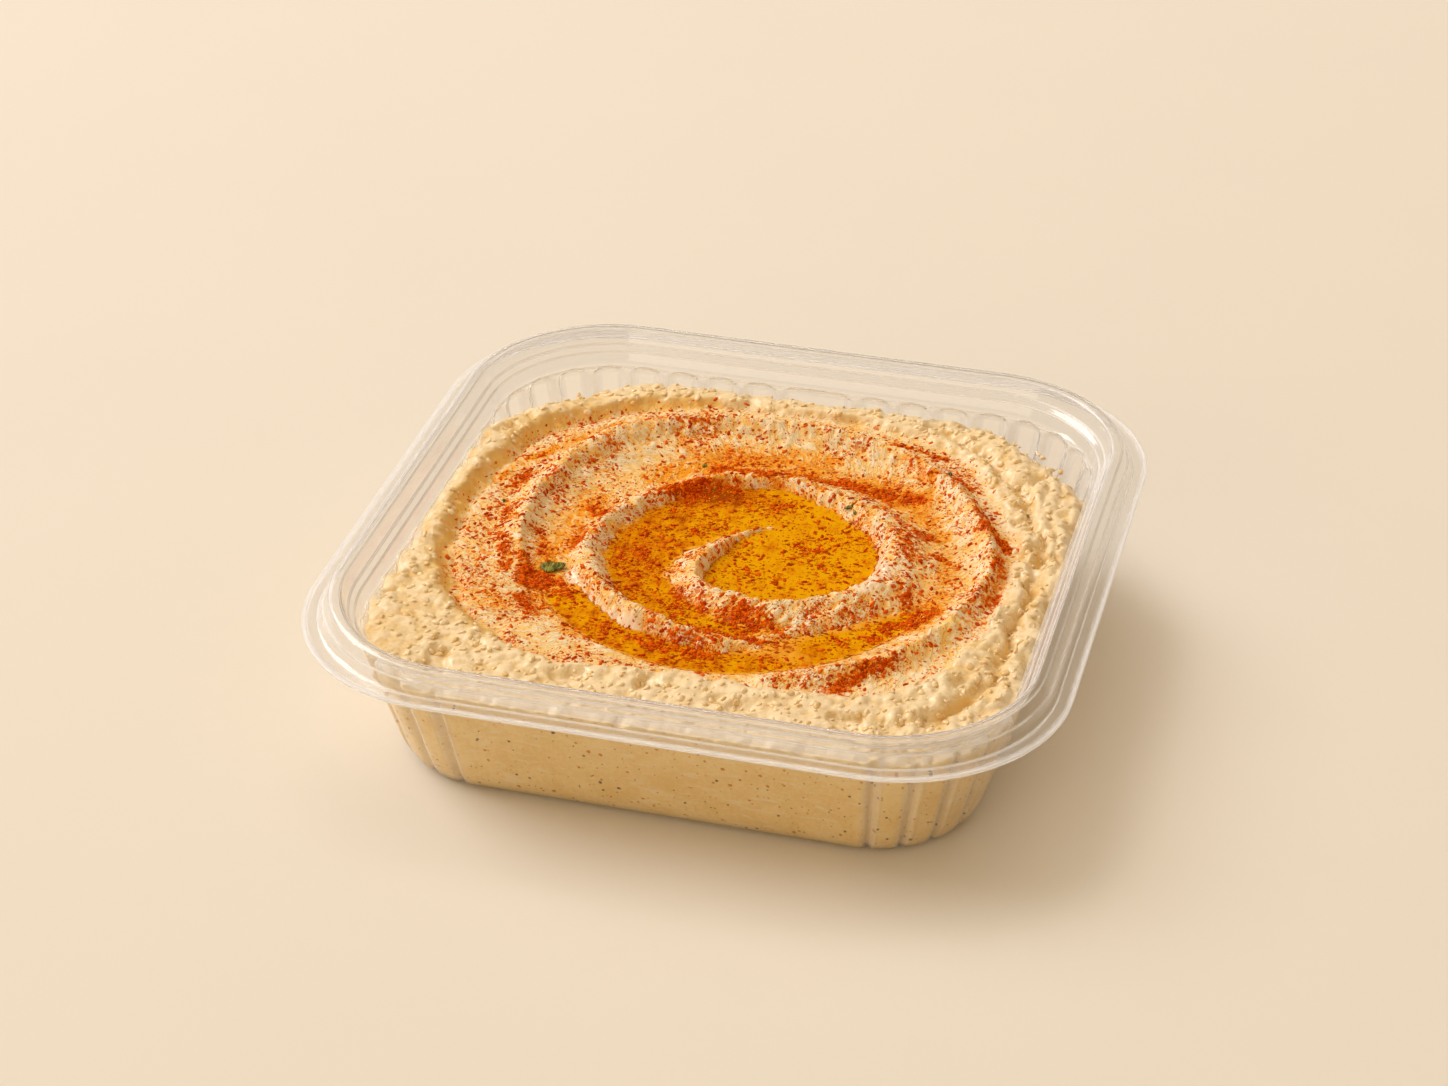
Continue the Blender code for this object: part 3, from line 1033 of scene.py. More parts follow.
    def build(self) -> bpy.types.Object:
        """The tray's mesh: its upper face, given the sheet's thickness.

        Returns:
            The tray.
        """
        station, side = self.stations()
        count = len(station)
        rows = []
        pushes = []
        profile = self.profile()
        for inset, height in profile:
            level = np.full(count, height)
            spread = 1.0 - float(ease(np.array((inset - self.floor_inset) / 3.0)))
            push = spread * self.ribs(station, side, level) * float(inset > self.ledge_inset)
            x, y = self.outline(station, inset - push, side)
            rows.append(np.stack([x, y, level], 1))
            pushes.append(push)
        frost_and_highlight = self.frost_and_highlight(profile, np.array(pushes))
        faces: List[Tuple[int, ...]] = []
        for index in range(len(rows) - 1):
            faces += band(index * count, (index + 1) * count, count)
        last = rows[-1]
        for step in range(1, self.floor_rings):
            share = 1.0 - step / self.floor_rings
            rows.append(last * (share, share, 1.0))
            faces += band((len(rows) - 2) * count, (len(rows) - 1) * count, count)
        faces.append(tuple((len(rows) - 1) * count + index for index in range(count)))
        item = make_mesh("tray_clear", np.concatenate(rows), faces)
        paint(item, "frost_and_highlight", np.concatenate([frost_and_highlight, np.zeros(count * (self.floor_rings - 1))]))
        thickness = item.modifiers.new("sheet", "SOLIDIFY")
        thickness.thickness = self.sheet * MM
        thickness.offset = -1.0
        applied(item)
        return item


def applied(item: bpy.types.Object) -> None:
    """Turns an object's modifiers into plain mesh."""
    evaluated = item.evaluated_get(bpy.context.evaluated_depsgraph_get())
    mesh = bpy.data.meshes.new_from_object(evaluated)
    old = item.data
    item.modifiers.clear()
    item.data = mesh
    bpy.data.meshes.remove(old)
    mesh.name = item.name


# Dip


def through(rows: Sequence[Sequence[float]], step: float = 0.5) -> Array:
    """Points a step apart on a smooth curve through rows of numbers.

    Args:
        rows: Control rows. The first two numbers of each are X and Y, in millimetres.
        step: Distance between points.

    Returns:
        One row for each point.
    """
    table = np.array(rows, float)
    table = np.concatenate([2.0 * table[:1] - table[1:2], table, 2.0 * table[-1:] - table[-2:-1]])
    made = []
    for index in range(1, len(table) - 2):
        a, b, c, d = table[index - 1 : index + 3]
        count = max(2, int(math.dist(b[:2], c[:2]) / step))
        for share in np.linspace(0.0, 1.0, count, endpoint=False):
            cubic = (2.0 * a - 5.0 * b + 4.0 * c - d) * share**2 + (3.0 * b - a - 3.0 * c + d) * share**3
            made.append(0.5 * (2.0 * b + (c - a) * share + cubic))
    made.append(table[-2])
    return np.array(made)


@dataclass(frozen=True)
class Lift:
    """What a ridge does at each place."""

    surface: Array
    rise: Array
    run: Array
    across: Array


@dataclass(frozen=True)
class Crest:
    """A ridge line. Each row holds X, Y, the top's height, and the reach of its left and right flanks.

    Hollow is the share of the left flank's height that falls steeply, and steep the share of the reach over
    which it does.
    """

    rows: Tuple[Tuple[float, float, float, float, float], ...]
    hollow: float = 0.0
    steep: float = 0.3
    chunk: int = 6000

    def lift(self, x: Array, y: Array, ground: Array) -> Lift:
        """The surface that the ridge makes.

        Args:
            x: X of each place, in millimetres.
            y: Y of each place, in millimetres.
            ground: Height of the surface without the ridge.

        Returns:
            Height, rise over the ground, length along the crest and distance from it.
        """
        line = through(self.rows)
        step_x = np.gradient(line[:, 0])
        step_y = np.gradient(line[:, 1])
        length = np.hypot(step_x, step_y)
        travelled = np.cumsum(length)
        surface = np.empty_like(x)
        run = np.empty_like(x)
        side = np.empty_like(x)
        for start in range(0, len(x), self.chunk):
            part = slice(start, start + self.chunk)
            dx = x[part, None] - line[None, :, 0]
            dy = y[part, None] - line[None, :, 1]
            best = np.argmin(dx * dx + dy * dy, 1)
            rows = np.arange(len(best))
            bx = dx[rows, best]
            by = dy[rows, best]
            tx = step_x[best] / length[best]
            ty = step_y[best] / length[best]
            across = tx * by - ty * bx
            distance = np.hypot(bx, by)
            reach = np.where(across > 0.0, line[best, 3], line[best, 4])
            share = self.flank(distance / reach)
            if self.hollow:
                steep = self.flank(distance / (self.steep * reach))
                share = np.where(across > 0.0, self.hollow * steep + (1.0 - self.hollow) * share, share)
            surface[part] = ground[part] + (line[best, 2] - ground[part]) * share
            run[part] = travelled[best] + tx * bx + ty * by
            side[part] = np.where(across > 0.0, distance, -distance)
        return Lift(surface, surface - ground, run, side)

    @staticmethod
    def flank(share: Array) -> Array:
        """Fall of a flank, round at the top.

        Args:
            share: Distance from the crest against the flank's reach.

        Returns:
            1 at the crest and 0 at the foot.
        """
        soft = np.sqrt(share * share + 0.0036) - 0.06
        soft = np.clip(soft, 0.0, 1.0)
        return 0.5 * (1.0 - soft) ** 1.35 + 0.5 * (0.5 + 0.5 * np.cos(np.pi * soft))


@dataclass(frozen=True)
class Trail:
    """A soft-edged stripe along a line: how far it reaches, how strong it is, and the line's points."""

    reach: float
    strength: float
    line: Tuple[Tuple[float, float], ...]

    def on(self, x: Array, y: Array) -> Array:
        """Strength of the trail at each place.

        Args:
            x: X of each place, in millimetres.
            y: Y of each place, in millimetres.

        Returns:
            Strength, highest on the line.
        """
        nearest = np.full(x.shape, FAR)
        for (ax, ay), (bx, by) in zip(self.line, self.line[1:]):
            dx, dy = bx - ax, by - ay
            size = max(dx * dx + dy * dy, TINY)
            share = np.clip(((x - ax) * dx + (y - ay) * dy) / size, 0.0, 1.0)
            nearest = np.minimum(nearest, (x - ax - share * dx) ** 2 + (y - ay - share * dy) ** 2)
        return self.strength * np.exp(-nearest / self.reach**2)


def laid(trails: Sequence[Trail], x: Array, y: Array) -> Array:
    """Sum of several trails.

    Args:
        trails: The trails.
        x: X of each place, in millimetres.
        y: Y of each place, in millimetres.

    Returns:
        Their strength at each place.
    """
    total = np.zeros_like(x)
    for trail in trails:
        total += trail.on(x, y)
    return total


# Where paprika lies thick
SPICE = (
    Trail(1.5, 0.9, ((-44, 17), (-45, 9))),
    Trail(1.2, 0.45, ((-43, 3), (-42.5, -5))),
    Trail(1.4, 1.1, ((-40.5, -7), (-38, -15))),
    Trail(1.3, 1.0, ((-36, -11), (-33, -18))),
    Trail(1.9, 1.8, ((-32.5, -16.5), (-26, -18.5))),
    Trail(1.4, 0.7, ((-38, -22.5), (-35, -26))),
    Trail(1.4, 0.6, ((-33, -23), (-29, -27))),
    Trail(1.0, 0.2, ((-30, -35), (-27, -38))),
    Trail(2.2, 0.35, ((-42, -22), (-38, -28))),
    Trail(1.3, 0.6, ((-36, -2), (-33, -8))),
    Trail(1.4, 1.1, ((-29, 8), (-26, 6.5))),
    Trail(1.2, 0.7, ((-29, 2), (-28, -4))),
    Trail(1.2, 0.3, ((-21, 34), (-16, 30))),
    Trail(1.2, 0.2, ((-22, 38), (-12, 39.5))),
    Trail(1.0, 0.15, ((-27, 43), (-20, 43))),
    Trail(1.1, 0.5, ((-35, 34), (-30, 36))),
    Trail(0.9, 0.4, ((-42, 27), (-44, 21))),
    Trail(1.5, 1.2, ((-19, 16), (-13, 19.5))),
    Trail(1.3, 1.4, ((-13, 20), (-7, 22))),
    Trail(1.3, 0.9, ((-11, 27), (-12, 24))),
    Trail(1.3, 1.1, ((-11, 27), (-2, 26.5))),
    Trail(1.5, 1.1, ((-2, 26.5), (6, 29))),
    Trail(1.6, 1.7, ((12, 28), (19, 27))),
    Trail(1.3, 1.3, ((19, 26.5), (26, 25.5))),
    Trail(1.1, 0.9, ((24, 27), (27, 26))),
    Trail(1.1, 0.8, ((7, 27), (14, 27))),
    Trail(0.9, 1.4, ((2, 17.5), (4, 19))),
    Trail(0.8, 1.3, ((-15.5, 12), (-14.5, 12.2))),
    Trail(1.1, 0.7, ((-10, 6.5), (-7, 4.5))),
    Trail(1.2, 0.9, ((-18, -1.5), (-15, -5.5))),
    Trail(0.8, 0.8, ((-13.5, 1.5), (-12.5, -0.5))),
    Trail(0.8, 0.8, ((8, 6.5), (10, 6))),
    Trail(0.8, 0.6, ((11, 5), (14, 5.5))),
    Trail(1.1, 1.1, ((-14, 17), (-13, 15.5))),
    Trail(1.4, 2.0, ((4, -17.5), (7, -22.5))),
    Trail(1.5, 0.7, ((25.5, -11), (27.5, -14))),
    Trail(1.8, 0.8, ((-1, -18), (4, -19), (9, -19.5))),
    Trail(1.4, 0.25, ((18, -15), (23, -10), (26, -4))),
    Trail(1.4, 0.7, ((-18, -26), (-11, -29), (-4, -32))),
    Trail(1.6, 0.4, ((-20, -4), (-17, -11), (-11, -15))),
    Trail(1.2, 1.0, ((7, -19), (12, -21.5))),
    Trail(0.9, 1.8, ((0, -24), (6, -25), (13, -25))),
    Trail(1.0, 0.8, ((-8, -13), (-5, -18))),
    Trail(1.5, 1.7, ((-8, -28.5), (2, -30.5))),
    Trail(1.0, 0.9, ((-1, -26.5), (3, -27.5))),
    Trail(0.8, 0.8, ((-9, -18), (-6, -18))),
    Trail(0.8, 1.2, ((32.5, 8), (35, 7.5))),
    Trail(1.8, 0.8, ((26, 11), (30, 5))),
    Trail(1.5, 0.7, ((21, 19.5), (30, 13))),
    Trail(1.4, 0.6, ((29.5, -1.5), (31.5, -8))),
    Trail(1.3, 1.2, ((40.5, 17.5), (45, 13))),
    Trail(0.9, 0.9, ((43.5, 14.5), (45, 12.5))),
    Trail(1.1, 0.6, ((44, 8), (45.5, 1))),
    Trail(0.9, 1.1, ((46, -2), (46, -6))),
    Trail(1.8, 1.3, ((36, -8.5), (32, -14))),
    Trail(1.3, 1.2, ((30, -16), (28, -19))),
    Trail(0.9, 1.1, ((22, -20.5), (24, -22))),
    Trail(1.3, 1.1, ((34.5, -27.5), (29, -32))),
    Trail(1.2, 1.2, ((28.5, -34), (25.5, -36.5))),
    Trail(1.2, 0.15, ((22, -32), (26, -35))),
    Trail(0.8, 0.7, ((39.5, -31.5), (40.5, -32.5))),
    Trail(0.9, 0.9, ((18, 43), (28, 41))),
    Trail(1.3, 0.5, ((22, 36), (27, 31))),
    Trail(0.9, 1.0, ((31, 33.5), (34, 31))),
    Trail(1.2, 0.5, ((36, 26), (39.5, 20))),
)

# Where oil has soaked in
OIL = (
    Trail(1.7, 1.25, ((-49, 13), (-46, 20), (-42.3, 25.5), (-37.7, 31), (-33.5, 36), (-28, 40))),
    Trail(3.2, 0.8, ((-29.5, 12), (-31.5, 2), (-31.5, -8), (-30, -14))),
    Trail(3.0, 0.8, ((-33, -15), (-27, -23), (-20, -29))),
    Trail(4.6, 1.3, ((-22, 24), (-12, 30), (0, 32.5), (9, 32.5), (17, 30), (23, 25))),
    Trail(4.0, 0.45, ((-36, 18), (-30, 27), (-20, 33), (-6, 36), (8, 36))),
    Trail(2.2, 0.9, ((18, 43), (24, 37), (27, 31), (28, 26))),
    Trail(3.0, 0.8, ((28, 22), (33, 13), (36, 4), (36.5, -5), (35.5, -13))),
    Trail(1.8, 0.7, ((41, 19), (44, 12), (45.6, 3), (45.4, -6))),
    Trail(5.0, 0.4, ((-45, 2), (-44, -12), (-38, -24), (-27, -34))),
    Trail(3.0, 0.5, ((25, -33), (33, -27), (37, -19))),
    Trail(3.2, 0.5, ((-17, 18), (-8, 23.5), (3, 25.5), (12, 24))),
    Trail(2.4, 0.5, ((-1, -20), (5, -22), (13, -21))),
    Trail(1.4, 0.7, ((-22, 42), (-13, 43.5))),
)

# Where the paste is bare and wet, with a painted sheen on it
BARE_AND_SHEEN = (
    Trail(2.0, 0.8, ((-34, -31.5), (-24, -34), (-13, -34.5))),
    Trail(2.0, 0.8, ((22.5, 5), (26, -2), (24, -8))),
    Trail(2.0, 0.6, ((11, 33), (18, 33.5))),
    Trail(1.0, 1.0, ((-26.6, -13.5), (-23, -18.6), (-17.5, -23.2), (-11.5, -26.8))),
    Trail(0.8, 1.0, ((-11.5, -26.8), (-6, -28.9), (0, -29.7))),
    Trail(0.9, 1.0, ((-3, 22.9), (4, 21.8), (9, 19.9), (14, 16.8))),
    Trail(4.2, 1.0, ((-27, 25), (-23, 29))),
    Trail(2.0, 0.3, ((15, -27), (21, -26))),
    Trail(2.0, 0.5, ((-20, 41), (-10, 42))),
    Trail(5.0, 0.6, ((-6, 38), (6, 40.5), (16, 37))),
    Trail(4.0, 0.8, ((41, -15), (38, -24), (34, -33))),
    Trail(3.0, 0.6, ((-50, 6), (-49, -8))),
)


# Ridges: X, Y, the top's height, and the reach of the left and of the right flank
HOOK = (
    (5.4, 11.0, 20.6, 1.5, 1.4),
    (1.6, 9.6, 21.2, 1.6, 1.8),
    (-1.2, 7.0, 21.8, 1.6, 2.4),
    (-3.2, 3.2, 22.5, 1.8, 5.4),
    (-4.9, -1.8, 23.0, 2.0, 7.4),
    (-5.8, -6.6, 23.3, 2.2, 7.8),
    (-4.6, -10.8, 23.4, 2.4, 6.6),
    (-1.2, -13.6, 23.5, 2.6, 6.0),
    (3.8, -15.0, 23.6, 2.8, 8.0),
    (10.5, -15.0, 23.7, 3.0, 9.5),
    (16.5, -13.0, 23.8, 3.2, 9.5),
    (21.0, -9.8, 23.9, 3.4, 9.5),
    (24.6, -5.6, 24.0, 3.6, 10.0),
    (26.4, -0.6, 24.0, 4.0, 10.0),
)
COIL = (
    (24.0, -6.4, 23.9, 3.6, 9.0),
    (26.3, -0.8, 24.0, 4.0, 9.0),
    (26.7, 6.0, 24.0, 4.4, 9.0),
    (23.6, 12.8, 23.8, 4.6, 8.0),
    (18.2, 18.2, 23.4, 4.6, 7.0),
    (11.0, 22.6, 23.0, 3.8, 6.0),
    (3.6, 25.0, 22.8, 3.0, 5.5),
    (-3.4, 25.0, 22.8, 2.8, 5.0),
    (-10.2, 22.4, 22.9, 2.6, 4.6),
    (-16.4, 17.8, 22.8, 3.4, 4.2),
    (-21.8, 11.5, 22.9, 4.4, 3.8),
    (-25.4, 4.0, 23.1, 5.4, 3.4),
    (-26.4, -4.0, 23.3, 5.4, 3.0),
    (-24.8, -10.6, 23.6, 5.0, 2.7),
    (-20.8, -17.0, 23.9, 4.6, 2.6),
    (-15.2, -22.2, 24.2, 4.4, 2.6),
    (-8.6, -25.4, 24.0, 4.2, 2.7),
    (-1.8, -27.0, 23.5, 3.6, 2.8),
    (5.0, -27.0, 22.5, 3.0, 3.4),
    (11.0, -24.8, 21.2, 2.4, 5.0),
    (16.5, -20.8, 20.6, 2.2, 6.0),
)
RING = (
    (14.0, -36.6, 22.8, 3.0, 4.0),
    (21.0, -34.4, 23.6, 3.4, 4.0),
    (28.0, -30.6, 24.1, 4.0, 4.0),
    (33.2, -25.6, 24.1, 4.2, 4.4),
    (37.0, -19.6, 24.1, 4.4, 4.4),
    (40.2, -13.0, 24.1, 4.8, 4.0),
    (42.6, -5.2, 24.1, 5.4, 3.4),
    (43.4, 3.0, 24.2, 6.0, 3.2),
    (41.6, 11.8, 24.4, 7.0, 3.0),
    (38.0, 20.0, 24.5, 8.0, 3.0),
    (33.0, 27.6, 24.6, 9.0, 3.2),
    (26.6, 33.8, 24.6, 10.0, 3.4),
    (18.6, 38.4, 24.7, 11.0, 3.4),
    (9.4, 41.0, 24.9, 12.0, 3.4),
    (0.0, 41.6, 25.0, 12.5, 3.4),
    (-9.2, 41.0, 25.0, 12.0, 3.6),
    (-17.6, 39.4, 24.9, 12.0, 4.0),
    (-25.4, 36.2, 24.9, 11.0, 4.4),
    (-31.8, 30.8, 24.8, 10.0, 4.6),
    (-36.0, 23.6, 24.7, 9.0, 4.6),
    (-38.2, 15.4, 24.5, 7.5, 5.0),
    (-39.2, 7.0, 24.3, 6.0, 5.4),
    (-39.2, -0.8, 24.0, 4.6, 5.6),
    (-37.6, -8.0, 23.2, 4.0, 5.6),
    (-34.6, -14.4, 22.3, 3.6, 5.0),
)

# The border's inner line
BORDER = (
    (47.5, 4.0), (46.5, -10.0), (43.5, -22.5), (38.0, -33.5), (27.0, -39.0), (12.0, -39.5),
    (0.0, -39.0), (-14.0, -41.0), (-27.0, -40.0), (-36.0, -34.5), (-43.8, -27.0), (-49.2, -16.6),
    (-52.0, -4.0), (-52.0, 8.8), (-50.2, 22.0), (-45.4, 33.2), (-37.0, 41.0), (-28.0, 46.5),
    (-15.0, 49.0), (0.0, 49.0), (14.0, 48.5), (25.0, 45.5), (33.0, 39.5), (39.0, 31.0),
    (43.5, 22.0), (46.5, 13.0),
)


@dataclass
class Dip:
    """The hummus: a spooned coil inside a ring, with a rough border along the wall.

    Heights end in _z. The grid's share is 0 in the middle and 1 on the wall: paint reaches to painted_to,
    grains lie within scattered_to, and wall_from is where the side starts.
    """

    tub: Tub
    oil_level: float = 20.9
    between_z: float = 21.2
    outside_z: float = 21.7
    basin_z: float = 19.6
    front_radius: float = 36.9
    border_centre: Tuple[float, float] = (0.0, 4.0)
    border_line: Tuple[Tuple[float, float], ...] = BORDER
    border_z: float = 23.0
    corner_drop: float = 6.0
    wall_z: float = 22.5
    wall_distance: float = 55.0
    painted_to: float = 0.999
    scattered_to: float = 0.97
    wall_from: float = 0.9999
    side_rings: Tuple[float, ...] = (0.06, 0.2, 0.45, 0.68, 0.82, 0.91, 0.97, 1.0)
    cells: int = 294
    grain: Grain = field(default_factory=lambda: Grain(11))
    hook: Crest = Crest(HOOK)
    coil: Crest = Crest(COIL, hollow=0.15, steep=0.5)
    ring: Crest = Crest(RING, hollow=0.5)

    def border_share(self, x: Array, y: Array) -> Array:
        """Where each place lies against the border's inner line.

        Args:
            x: X of each place, in millimetres.
            y: Y of each place, in millimetres.

        Returns:
            Below 1 in the swirled middle and above 1 in the rough border.
        """
        line = through(self.border_line + self.border_line[:1]) - self.border_centre
        angle = np.arctan2(line[:, 1], line[:, 0])
        order = np.argsort(angle)
        dx = x - self.border_centre[0]
        dy = y - self.border_centre[1]
        reach = np.hypot(line[:, 0], line[:, 1])
        reach = np.interp(np.arctan2(dy, dx), angle[order], reach[order], period=2.0 * math.pi)
        return np.hypot(dx, dy) / reach

    def ground(self, x: Array, y: Array) -> Array:
        """The surface between the ridges.

        Args:
            x: X of each place, in millimetres.
            y: Y of each place, in millimetres.

        Returns:
            Heights, low under the two pools and higher along the border.
        """
        angle = np.degrees(np.arctan2(y, x)) % 360.0
        radius = np.hypot(x, y)
        inside = ease((26.0 - radius) / 3.0)
        window = ease((74.0 - angle_between(angle, 281.0)) / 14.0)
        front = window * ease((radius - 25.5) / 2.5) * ease((self.front_radius - radius) / 2.4)
        shallow = bell(np.hypot((x - 14.0) / 2.2, y + 27.5), 3.4)
        outside = ease((np.hypot(x - 1.5, y - 2.0) - 40.0) / 4.0)
        roll = self.grain.rough(x, y, 14.0, 2, 3)
        height = self.between_z + (self.outside_z - self.between_z) * outside
        sunk = np.maximum(inside, 0.85 * front * (1.0 - 0.42 * shallow))
        height = height - (self.between_z - self.basin_z) * sunk
        return height + 0.18 * roll

    def surface(self, x: Array, y: Array, inland: Array) -> Dict[str, Array]:
        """The dip's surface and what lies on it.

        Args:
            x: X of each place, in millimetres.
            y: Y of each place, in millimetres.
            inland: Distance of each place from the wall.

        Returns:
            The height, and the paint for each place.
        """
        grain = self.grain
        wx = x + 0.8 * grain.rough(x, y, 6.0, 2, 21) + 0.35 * grain.flow(x, y, 1.7, 23)
        wy = y + 0.8 * grain.rough(x, y, 6.0, 2, 22) + 0.35 * grain.flow(x, y, 1.7, 24)
        ground = self.ground(x, y)
        height = ground
        lifts = []
        for crest in (self.hook, self.coil, self.ring):
            lift = crest.lift(wx, wy, ground)
            lifts.append(lift)
            height = soft_max(height, lift.surface, 7.0)
        share = self.border_share(wx, wy) + 0.012 * grain.rough(x, y, 3.2, 2, 5)
        rough = ease((share - 0.985) / 0.035)
        strokes = self.combing(x, y, lifts)
        sweep, drift, combed = self.grain_lines(x, y, lifts)
        height = height + strokes * (1.0 - rough)
        height = height - 0.7 * bell(share - 0.97, 0.02) * ease((-x - 14.0) / 16.0)
        base, lumps = self.border(x, y, wx, wy, share, inland)
        height = height + rough * (base + lumps - height)
        height = height - self.corner_drop * ease((np.abs(x) + y - 84.0) / 12.0)
        paint_fields = self.paint_fields(x, y, height, share, rough)
        # Painted shade: the strokes' hollows get the paste's shade colour; the same paint tells where spice
        # and oil gather.
        crease_shade = np.clip(0.5 - 1.7 * strokes, 0.0, 1.0)
        # Painted shade between the border's lumps, deeper towards the left where the key lamp falls
        # strongly.
        lump_shade = 0.35 + 0.20 * ease((-x - 34.0) / 10.0)
        crease_shade = crease_shade + rough * (np.clip(lump_shade - 0.8 * lumps, 0.0, 0.9) - crease_shade)
        # Painted shade in a band on the left border's inner slope and along the right side's fold.
        fold = bell(share - 1.006, 0.026) * ease((-x - 10.0) / 16.0) + self.fold_line(x, y, share)
        crease_shade = crease_shade + 0.75 * fold * (0.7 + 0.5 * grain.rough(x, y, 5.0, 2, 6))
        lines = {"sweep": sweep, "drift": drift, "combed": combed}
        return {"height": height, "rough": rough, "crease_shade": crease_shade, **lines, **paint_fields}

    def grain_lines(self, x: Array, y: Array, lifts: List[Lift]) -> Tuple[Array, Array, Array]:
        """The course of the spoon's strokes.

        Args:
            x: X of each place, in millimetres.
            y: Y of each place, in millimetres.
            lifts: What each ridge does there.

        Returns:
            Distances along and across the strokes, in millimetres, and how clear the strokes are.
        """
        pull = np.stack([1.5 * lift.rise - np.abs(lift.across) for lift in lifts])
        best = np.argmax(pull, 0)
        across = np.choose(best, [lift.across for lift in lifts])
        along = np.choose(best, [lift.run + 60.0 * index for index, lift in enumerate(lifts)])
        bend = 1.3 * self.grain.flow(x, y, 3.2, 95) + 0.5 * self.grain.flow(x, y, 1.3, 96)
        ranked = np.sort(pull, 0)
        clear = ease((ranked[-1] - ranked[-2]) / 1.6)
        return along + 0.8 * np.abs(across) + bend, across + bend, clear

    def combing(self, x: Array, y: Array, lifts: List[Lift]) -> Array:
        """Fine strokes that slant away from each crest, teeth on the crests, and wrinkles between.

        Args:
            x: X of each place, in millimetres.
            y: Y of each place, in millimetres.
            lifts: What each ridge does there.

        Returns:
            What the strokes add to the height.
        """
        grain = self.grain
        total = np.zeros_like(x)
        cover = np.zeros_like(x)
        for index, lift in enumerate(lifts):
            weight = np.clip(lift.rise / 1.6, 0.0, 1.0)
            crown = bell(lift.across, 1.8) * np.clip(lift.rise / 1.2, 0.0, 1.0)
            away = np.abs(lift.across)
            slant = lift.run + 0.75 * away + 0.7 * grain.flow(x, y, 3.4, 90 + index)
            comb = 0.6 * grain.flow(slant, 0.22 * lift.across, 1.15, 31 + index)
            comb = comb + grain.curds(slant, 0.3 * lift.across, 1.9, 41 + index) - 0.45
            quiet = 0.5 if index == 2 else 1.0
            ring_right = ease((x - 18.0) / 12.0)
            amount = (quiet + (1.0 - quiet) * ring_right) * 0.26 * weight
            total += amount * comb
            total += 0.42 * crown * (grain.curds(lift.run, 0.6 * lift.across, 2.1, 51 + index) - 0.4)
            cover = np.maximum(cover, weight)
        bent_x = x + 0.6 * grain.flow(x, y, 2.2, 61)
        bent_y = y + 0.6 * grain.flow(x, y, 2.0, 63)
        wrinkle = grain.curds(bent_x, bent_y, 2.0, 62) - 0.45
        wrinkle = wrinkle + 0.6 * (grain.curds(bent_x, bent_y, 1.1, 64) - 0.45)
        return total + (0.13 + 0.14 * cover) * wrinkle

    def border(
        self, x: Array, y: Array, wx: Array, wy: Array, share: Array, inland: Array
    ) -> Tuple[Array, Array]:
        """The rough border.

        Args:
            x: X of each place, in millimetres.
            y: Y of each place, in millimetres.
            wx: The same places, pushed about.
            wy: The same places, pushed about.
            share: Where each place lies against the border's inner line.
            inland: Distance of each place from the wall.

        Returns:
            The border's height, and that of the lumps on it.
        """
        grain = self.grain
        right = ease((x - 30.0) / 14.0)
        back = ease((y - 36.0) / 10.0)
        front = ease((-y - 30.0) / 10.0)
        left = ease((-x - 38.0) / 8.0)
        top = self.border_z + 0.35 * left + 0.3 * right - 0.2 * back - 0.2 * front
        long_x = wx * (1.0 - 0.45 * back) + 1.2 * grain.flow(x, y, 6.0, 74)
        long_y = wy * (1.0 - 0.42 * right) + 1.2 * grain.flow(x, y, 6.0, 75)
        small_x = x + 0.5 * grain.flow(x, y, 5.0, 76)
        small_y = y + 0.5 * grain.flow(x, y, 5.0, 77)
        loose = 0.4 + 0.6 * ease((grain.rough(x, y, 5.0, 2, 78) + 0.35) / 0.7)
        lumps = 0.55 * (grain.curds(long_x, long_y, 5.6, 61) - 0.45)
        lumps += 1.0 * right * (grain.curds(wx, 0.28 * wy, 3.0, 66) - 0.45)
        large = 0.95 * grain.lumps(small_x, small_y, 2.9, 71)
        small = 0.62 * grain.lumps(small_y, small_x, 1.9, 72) + 0.25 * grain.flow(x, y, 4.0, 70)
        lumps += (0.45 + 0.40 * loose) * (soft_max(large, small, 6.0) - 0.5)
        calm = 1.0 - 0.30 * back
        furrow = self.fold_line(x, y, share)
        drop = (0.4 + 1.6 * back + 0.5 * left + 0.7 * right) * ease((3.4 - inland) / 3.4) ** 1.5
        lip = 0.25 * bell(share - 1.04, 0.03)
        pits = ease((grain.rough(x, y, 7.0, 2, 73) - 0.35) / 0.3)
        return top + lip - drop - 0.9 * pits - 1.7 * furrow, calm * lumps

    def fold_line(self, x: Array, y: Array, share: Array) -> Array:
        """How near each place is to the fold that runs along the border's right side.

        Args:
            x: X of each place, in millimetres.
            y: Y of each place, in millimetres.
            share: Where each place lies against the border's inner line.

        Returns:
            1 in the fold and 0 away from it.
        """
        corner = ease((-y - 8.0) / 22.0)
        middle = 1.075 + 0.10 * corner + 0.012 * self.grain.rough(x, y, 9.0, 2, 79)
        return bell(share - middle, 0.022) * ease((x - 18.0 - 14.0 * corner) / 12.0)

